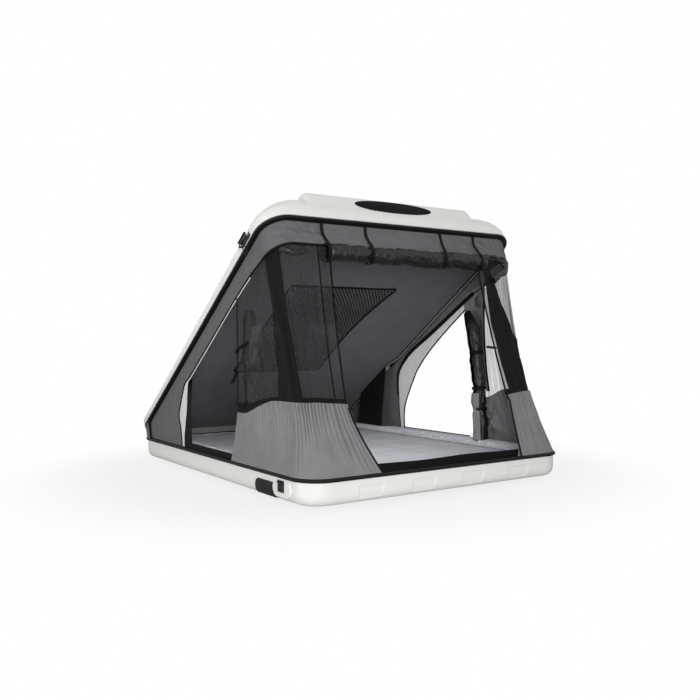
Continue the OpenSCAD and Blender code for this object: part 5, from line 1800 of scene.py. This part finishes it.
@dataclass
class Ceiling:
    """Lid lining with its piping, the ceiling net, and the panels that hide the struts."""

    shop: Workshop
    half_w: float = 721.4
    front: float = -971.4
    rear: float = 907.0
    corner_r: float = 96.7
    rise: float = 3.0
    thick: float = 16.0
    cloth_t: float = 1.4
    notch_x: float = 684.0
    notch_y: Pair = (257.0, 477.0)
    edging_y: Pair = (-860.0, 830.0)
    edging_in: float = 30.0
    net_x: Pair = (-400.0, 252.0)
    net_along: Pair = (720.0, 1532.0)
    net_waist: float = 92.0
    net_under: float = 1.2
    net_r: float = 5.0
    tail_half: float = 640.0
    tail_y: float = 973.0
    tail_len: float = 72.0
    cover_x: float = 661.0
    cover_low: Triple = (462.0, 735.0, 115.0)
    cover_high: Triple = (740.0, 394.0, 2.0)

    def face(self, u: float, v: float) -> Vector:
        """A point of the lining's padded face, with the lid closed."""
        x, y = mix(-self.half_w, self.half_w, u), mix(self.front, self.rear, v)
        centre = Vector((math.copysign(self.half_w - self.corner_r, x), 0, 0))
        centre.y = min(max(y, self.front + self.corner_r), self.rear - self.corner_r)
        if abs(x) > abs(centre.x) and centre.y != y:
            out = Vector((x - centre.x, y - centre.y, 0))
            if out.length > self.corner_r:
                out *= self.corner_r / out.length
                x, y = centre.x + out.x, centre.y + out.y
        if self.notch_y[0] < y < self.notch_y[1]:
            x = math.copysign(min(abs(x), self.notch_x), x)
        pad = 1.3 * wrinkle(x / 160, y / 210) * min(1, (self.half_w - abs(x)) / 60)
        return Vector((x, y, TENT.split_z + self.rise + 0.6 + max(-0.6, pad)))

    def lining(self) -> None:
        """Padded lining across the lid, with piping and tape along its sides."""
        bm = turned_over(sheet_mesh(96, 128, self.face, (2 * self.half_w, self.rear - self.front)))
        bmesh.ops.remove_doubles(bm, verts=bm.verts, dist=WELD)
        upper = new_verts(bmesh.ops.extrude_edge_only(bm, edges=boundary(bm)))
        bmesh.ops.translate(bm, vec=(0, 0, self.thick), verts=upper)
        bmesh.ops.holes_fill(bm, edges=boundary(bm), sides=0)
        bm = TENT.open_mesh(outward(bm))
        pad = self.shop.piece(bm, "lining_pad", LINING, Body.LID, "lining", ["lid_lining"])
        for side in Side:
            self.edging(side, "lining_piping", PIPING, 706.0, 3.0)
            self.edging(side, "lining_binding", TAPE, 697.0, 4.0)

    def edging(self, side: Side, name: str, finish: Finish, x: float, radius: float) -> None:
        """Cord along a side of the lining, which steps in at the strut.

        Args:
            side: the side.
            name: the piece's name without its side.
            finish: what it is made of.
            x: its distance from the middle, in millimetres.
            radius: its radius, in millimetres.
        """
        points = []
        for y in steps(26, *self.edging_y):
            beside = self.notch_y[0] - self.edging_in < y < self.notch_y[1] + self.edging_in
            out = x - self.edging_in if beside else x
            points.append(TENT.on_lid(side.value * out, y, self.rise - 1))
        self.shop.piece(pipe_mesh(points, radius, 110), f"{side.label}_{name}", finish, Body.LID, "lining")

    def tail(self) -> None:
        """Lining cloth between the pad's rear edge and the rear wall."""

        def place(u: float, v: float) -> Vector:
            """Point of the cloth, with faint creases."""
            x = mix(-self.tail_half, self.tail_half, u)
            y = mix(self.rear - 6, self.tail_y, v)
            return TENT.on_lid(x, y, self.rise + 1 + 0.8 * wrinkle(x / 90, y / 40))

        flat = (2 * self.tail_half, self.tail_len)
        bm = thickened(turned_over(sheet_mesh(80, 8, place, flat)), self.cloth_t)
        obj = self.shop.piece(bm, "lining_tail", LINING, Body.LID, "lining")

    def net(self) -> None:
        """Pocket net under the lining, with a bound hem."""
        y0, y1 = TENT.hinge_y - self.net_along[1], TENT.hinge_y - self.net_along[0]

        def place(u: float, v: float) -> Vector:
            """Point of the net, which hangs a little and has a waist."""
            x, y = mix(self.net_x[0], self.net_x[1], u), mix(y0, y1, v)
            slack = 16 * u * (1 - u) * v * (1 - v)
            x -= self.net_waist * u * math.sin(math.pi / 2 * min(1, 1.6 * v))
            return TENT.on_lid(x, y, self.rise - self.net_under - 5.0 * slack)

        flat = (self.net_x[1] - self.net_x[0], y1 - y0)
        bm = sheet_mesh(30, 30, place, flat)
        net = self.shop.piece(bm, "pocket_net", NET, Body.LID, "mesh", ["ceiling_net"])
        corners = [(0, 0), (1, 0), (1, 1), (0, 1), (0, 0)]
        hem = []
        for (a, b), (c, d) in zip(corners, corners[1:]):
            hem += [place(mix(a, c, t), mix(b, d, t)) for t in steps(10)[:-1]]
        hem.append(hem[0].copy())
        self.shop.piece(pipe_mesh(hem, self.net_r, 160), "pocket_net_hem", TAPE, Body.LID, "mesh")

    def cover(self, side: Side) -> None:
        """Black panel inside a strut, from the tray to the lid."""
        *ends, level = self.cover_low
        low = [Vector((0, y, level)) for y in ends]
        *ends, rise = self.cover_high
        high = [TENT.on_lid(0, TENT.hinge_y - along, rise) for along in ends]

        def place(u: float, v: float) -> Vector:
            """Point of the panel, with faint creases."""
            p = low[0].lerp(low[1], u).lerp(high[0].lerp(high[1], u), v)
            p.x = side.value * (self.cover_x + 1.5 * wrinkle(u * 3, v * 5, side.value))
            return p

        bm = thickened(sheet_mesh(20, 30, place, (310, 400)), self.cloth_t)
        obj = self.shop.piece(
            bm, f"{side.label}_cover_cloth", NYLON, Body.BASE, "black_fabric", [f"{side.label}_strut_cover"],
            folds=True, crisp=70,
        )

    def build(self) -> None:
        """Builds the ceiling."""
        self.lining()
        self.tail()
        self.net()
        for side in Side:
            self.cover(side)


@dataclass
class Hardware:
    """Finishes of the solids that stay in sight."""

    shop: Workshop

    def pairs(self, *names: str) -> list[str]:
        """Left and right nodes of each name."""
        return [f"{side.label}_{name}" for side in Side for name in names]

    def build(self) -> None:
        """Dresses rails, hinges, struts, latches and grips."""
        steel = self.pairs(
            "hinge_base_leaf", "hinge_lid_leaf", "hinge_pin", "strut_base_bracket", "strut_lid_bracket",
            "strut_rod", "latch_pin",
        )
        painted = self.pairs("strut_tube", "latch_plate", "latch_lever", "latch_bail")
        self.shop.dress(ALUMINIUM, *self.pairs("mounting_rail"))
        self.shop.dress(STEEL, "rail_bolts", *steel)
        self.shop.dress(BLACK_PAINT, *painted)
        self.shop.dress(BLACK_PLASTIC, *self.pairs("latch_keeper", "side_grip"))


@dataclass(frozen=True)
class Studio:
    """Camera, soft lights, pale floor and white surroundings, in metres."""

    eye: Triple = (-2.335, -3.716, 0.690)
    target: Triple = (0.0856, -0.0519, 0.6566)
    roll: float = math.radians(-0.49)
    lens: float = 40.5
    sensor: float = 36.0
    floor_half: float = 14.0
    floor_fade: Pair = (0.9, 2.0)
    sky: float = 0.33

    def camera(self) -> None:
        """Camera at the photo's place."""
        data = bpy.data.cameras.new("photo_camera")
        data.lens = self.lens
        data.sensor_width = self.sensor
        obj = linked("photo_camera", data)
        look = (Vector(self.target) - Vector(self.eye)).to_track_quat("-Z", "Y").to_matrix().to_4x4()
        obj.matrix_world = Matrix.Translation(self.eye) @ look @ Matrix.Rotation(self.roll, 4, "Z")
        bpy.context.scene.camera = obj

    def lamp(
        self, name: str, place: Triple, size: float, watts: float, aim: Triple = (0.0, -0.2, 0.5)
    ) -> None:
        """Square soft light, out of the camera's sight.

        Args:
            name: the light's name.
            place: its middle.
            size: its side.
            watts: its power.
            aim: the point it faces.
        """
        data = bpy.data.lights.new(name, "AREA")
        data.size = size
        data.energy = watts
        obj = linked(name, data)
        obj.location = place
        obj.rotation_euler = (Vector(aim) - Vector(place)).to_track_quat("-Z", "Y").to_euler()
        obj.visible_camera = False

    def surroundings(self) -> None:
        """White to the camera, in gloss and through glass; a plain soft sky to everything else."""
        world = bpy.data.worlds.new("studio_world")
        world.use_nodes = True
        tree = world.node_tree
        rays = add(tree, "LightPath").outputs
        seen = combined(tree, "MAXIMUM", rays["Is Camera Ray"], rays["Is Transmission Ray"])
        seen = combined(tree, "MAXIMUM", seen, rays["Is Glossy Ray"])
        ground = tree.nodes["Background"]
        ground.inputs["Color"].default_value = (1, 1, 1, 1)
        tree.links.new(ranged(tree, seen, To_Min=self.sky, To_Max=1.0), ground.inputs["Strength"])
        bpy.context.scene.world = world

    def floor_finish(self) -> bpy.types.Material:
        """Matt near the tent, and white to the camera further out."""
        made = bpy.data.materials.new("pale_floor")
        made.use_nodes = True
        tree = made.node_tree
        tree.nodes.remove(tree.nodes["Principled BSDF"])
        where = add(tree, "TexCoord").outputs["Object"]
        reach = add(tree, "VectorMath", {"operation": "LENGTH"}, {0: where}).outputs["Value"]
        near, away = self.floor_fade
        far = add(
            tree, "MapRange", {"interpolation_type": "SMOOTHSTEP"},
            {"Value": reach, "From Min": near, "From Max": away, "To Min": 0.8, "To Max": 1.0},
        )
        rays = add(tree, "LightPath").outputs
        share = combined(tree, "MULTIPLY", far.outputs["Result"], rays["Is Camera Ray"])
        matt = add(tree, "BsdfDiffuse", inputs={"Color": linear("D6D6D4")})
        glow = add(tree, "Emission", inputs={"Color": (1, 1, 1, 1), "Strength": 1.0})
        both = add(tree, "MixShader", inputs={0: share, 1: matt.outputs[0], 2: glow.outputs[0]})
        tree.links.new(both.outputs[0], tree.nodes["Material Output"].inputs["Surface"])
        return made

    def floor(self) -> None:
        """Pale floor that keeps the tent's shadow and runs out to white."""
        bm = bmesh.new()
        bmesh.ops.create_grid(bm, x_segments=1, y_segments=1, size=self.floor_half)
        mesh = used_up(bm, "studio_floor")
        mesh.materials.append(self.floor_finish())
        linked("studio_floor", mesh)

    def build(self) -> None:
        """Builds the studio."""
        bpy.context.scene.view_settings.view_transform = "Standard"
        self.camera()
        self.lamp("key_light", (-2.6, -5.2, 1.4), 2.0, 186)
        self.lamp("side_light", (-3.6, 0.0, 0.32), 0.6, 29, (-0.7, 0.0, 0.2))
        self.lamp("fill_light", (3.6, -4.0, 1.8), 3.0, 6)
        self.lamp("top_light", (0.0, 0.6, 4.6), 3.4, 3)
        self.lamp("inner_light", (-0.25, -0.55, 0.8), 0.8, 2.4, (-0.2, -0.5, 0.0))
        self.surroundings()
        self.floor()


def main() -> None:
    """Builds the studio and every sub-assembly."""
    logging.basicConfig(level=logging.INFO, format="%(message)s")
    shop = Workshop()
    canvas = Canvas(shop)
    Studio().build()
    Shells(shop).build()
    Bed(shop).build()
    canvas.build()
    Rolls(shop, canvas).build()
    Ceiling(shop).build()
    Hardware(shop).build()
    LOG.info("%d new pieces", len(shop.made))


if __name__ == "__main__":
    main()
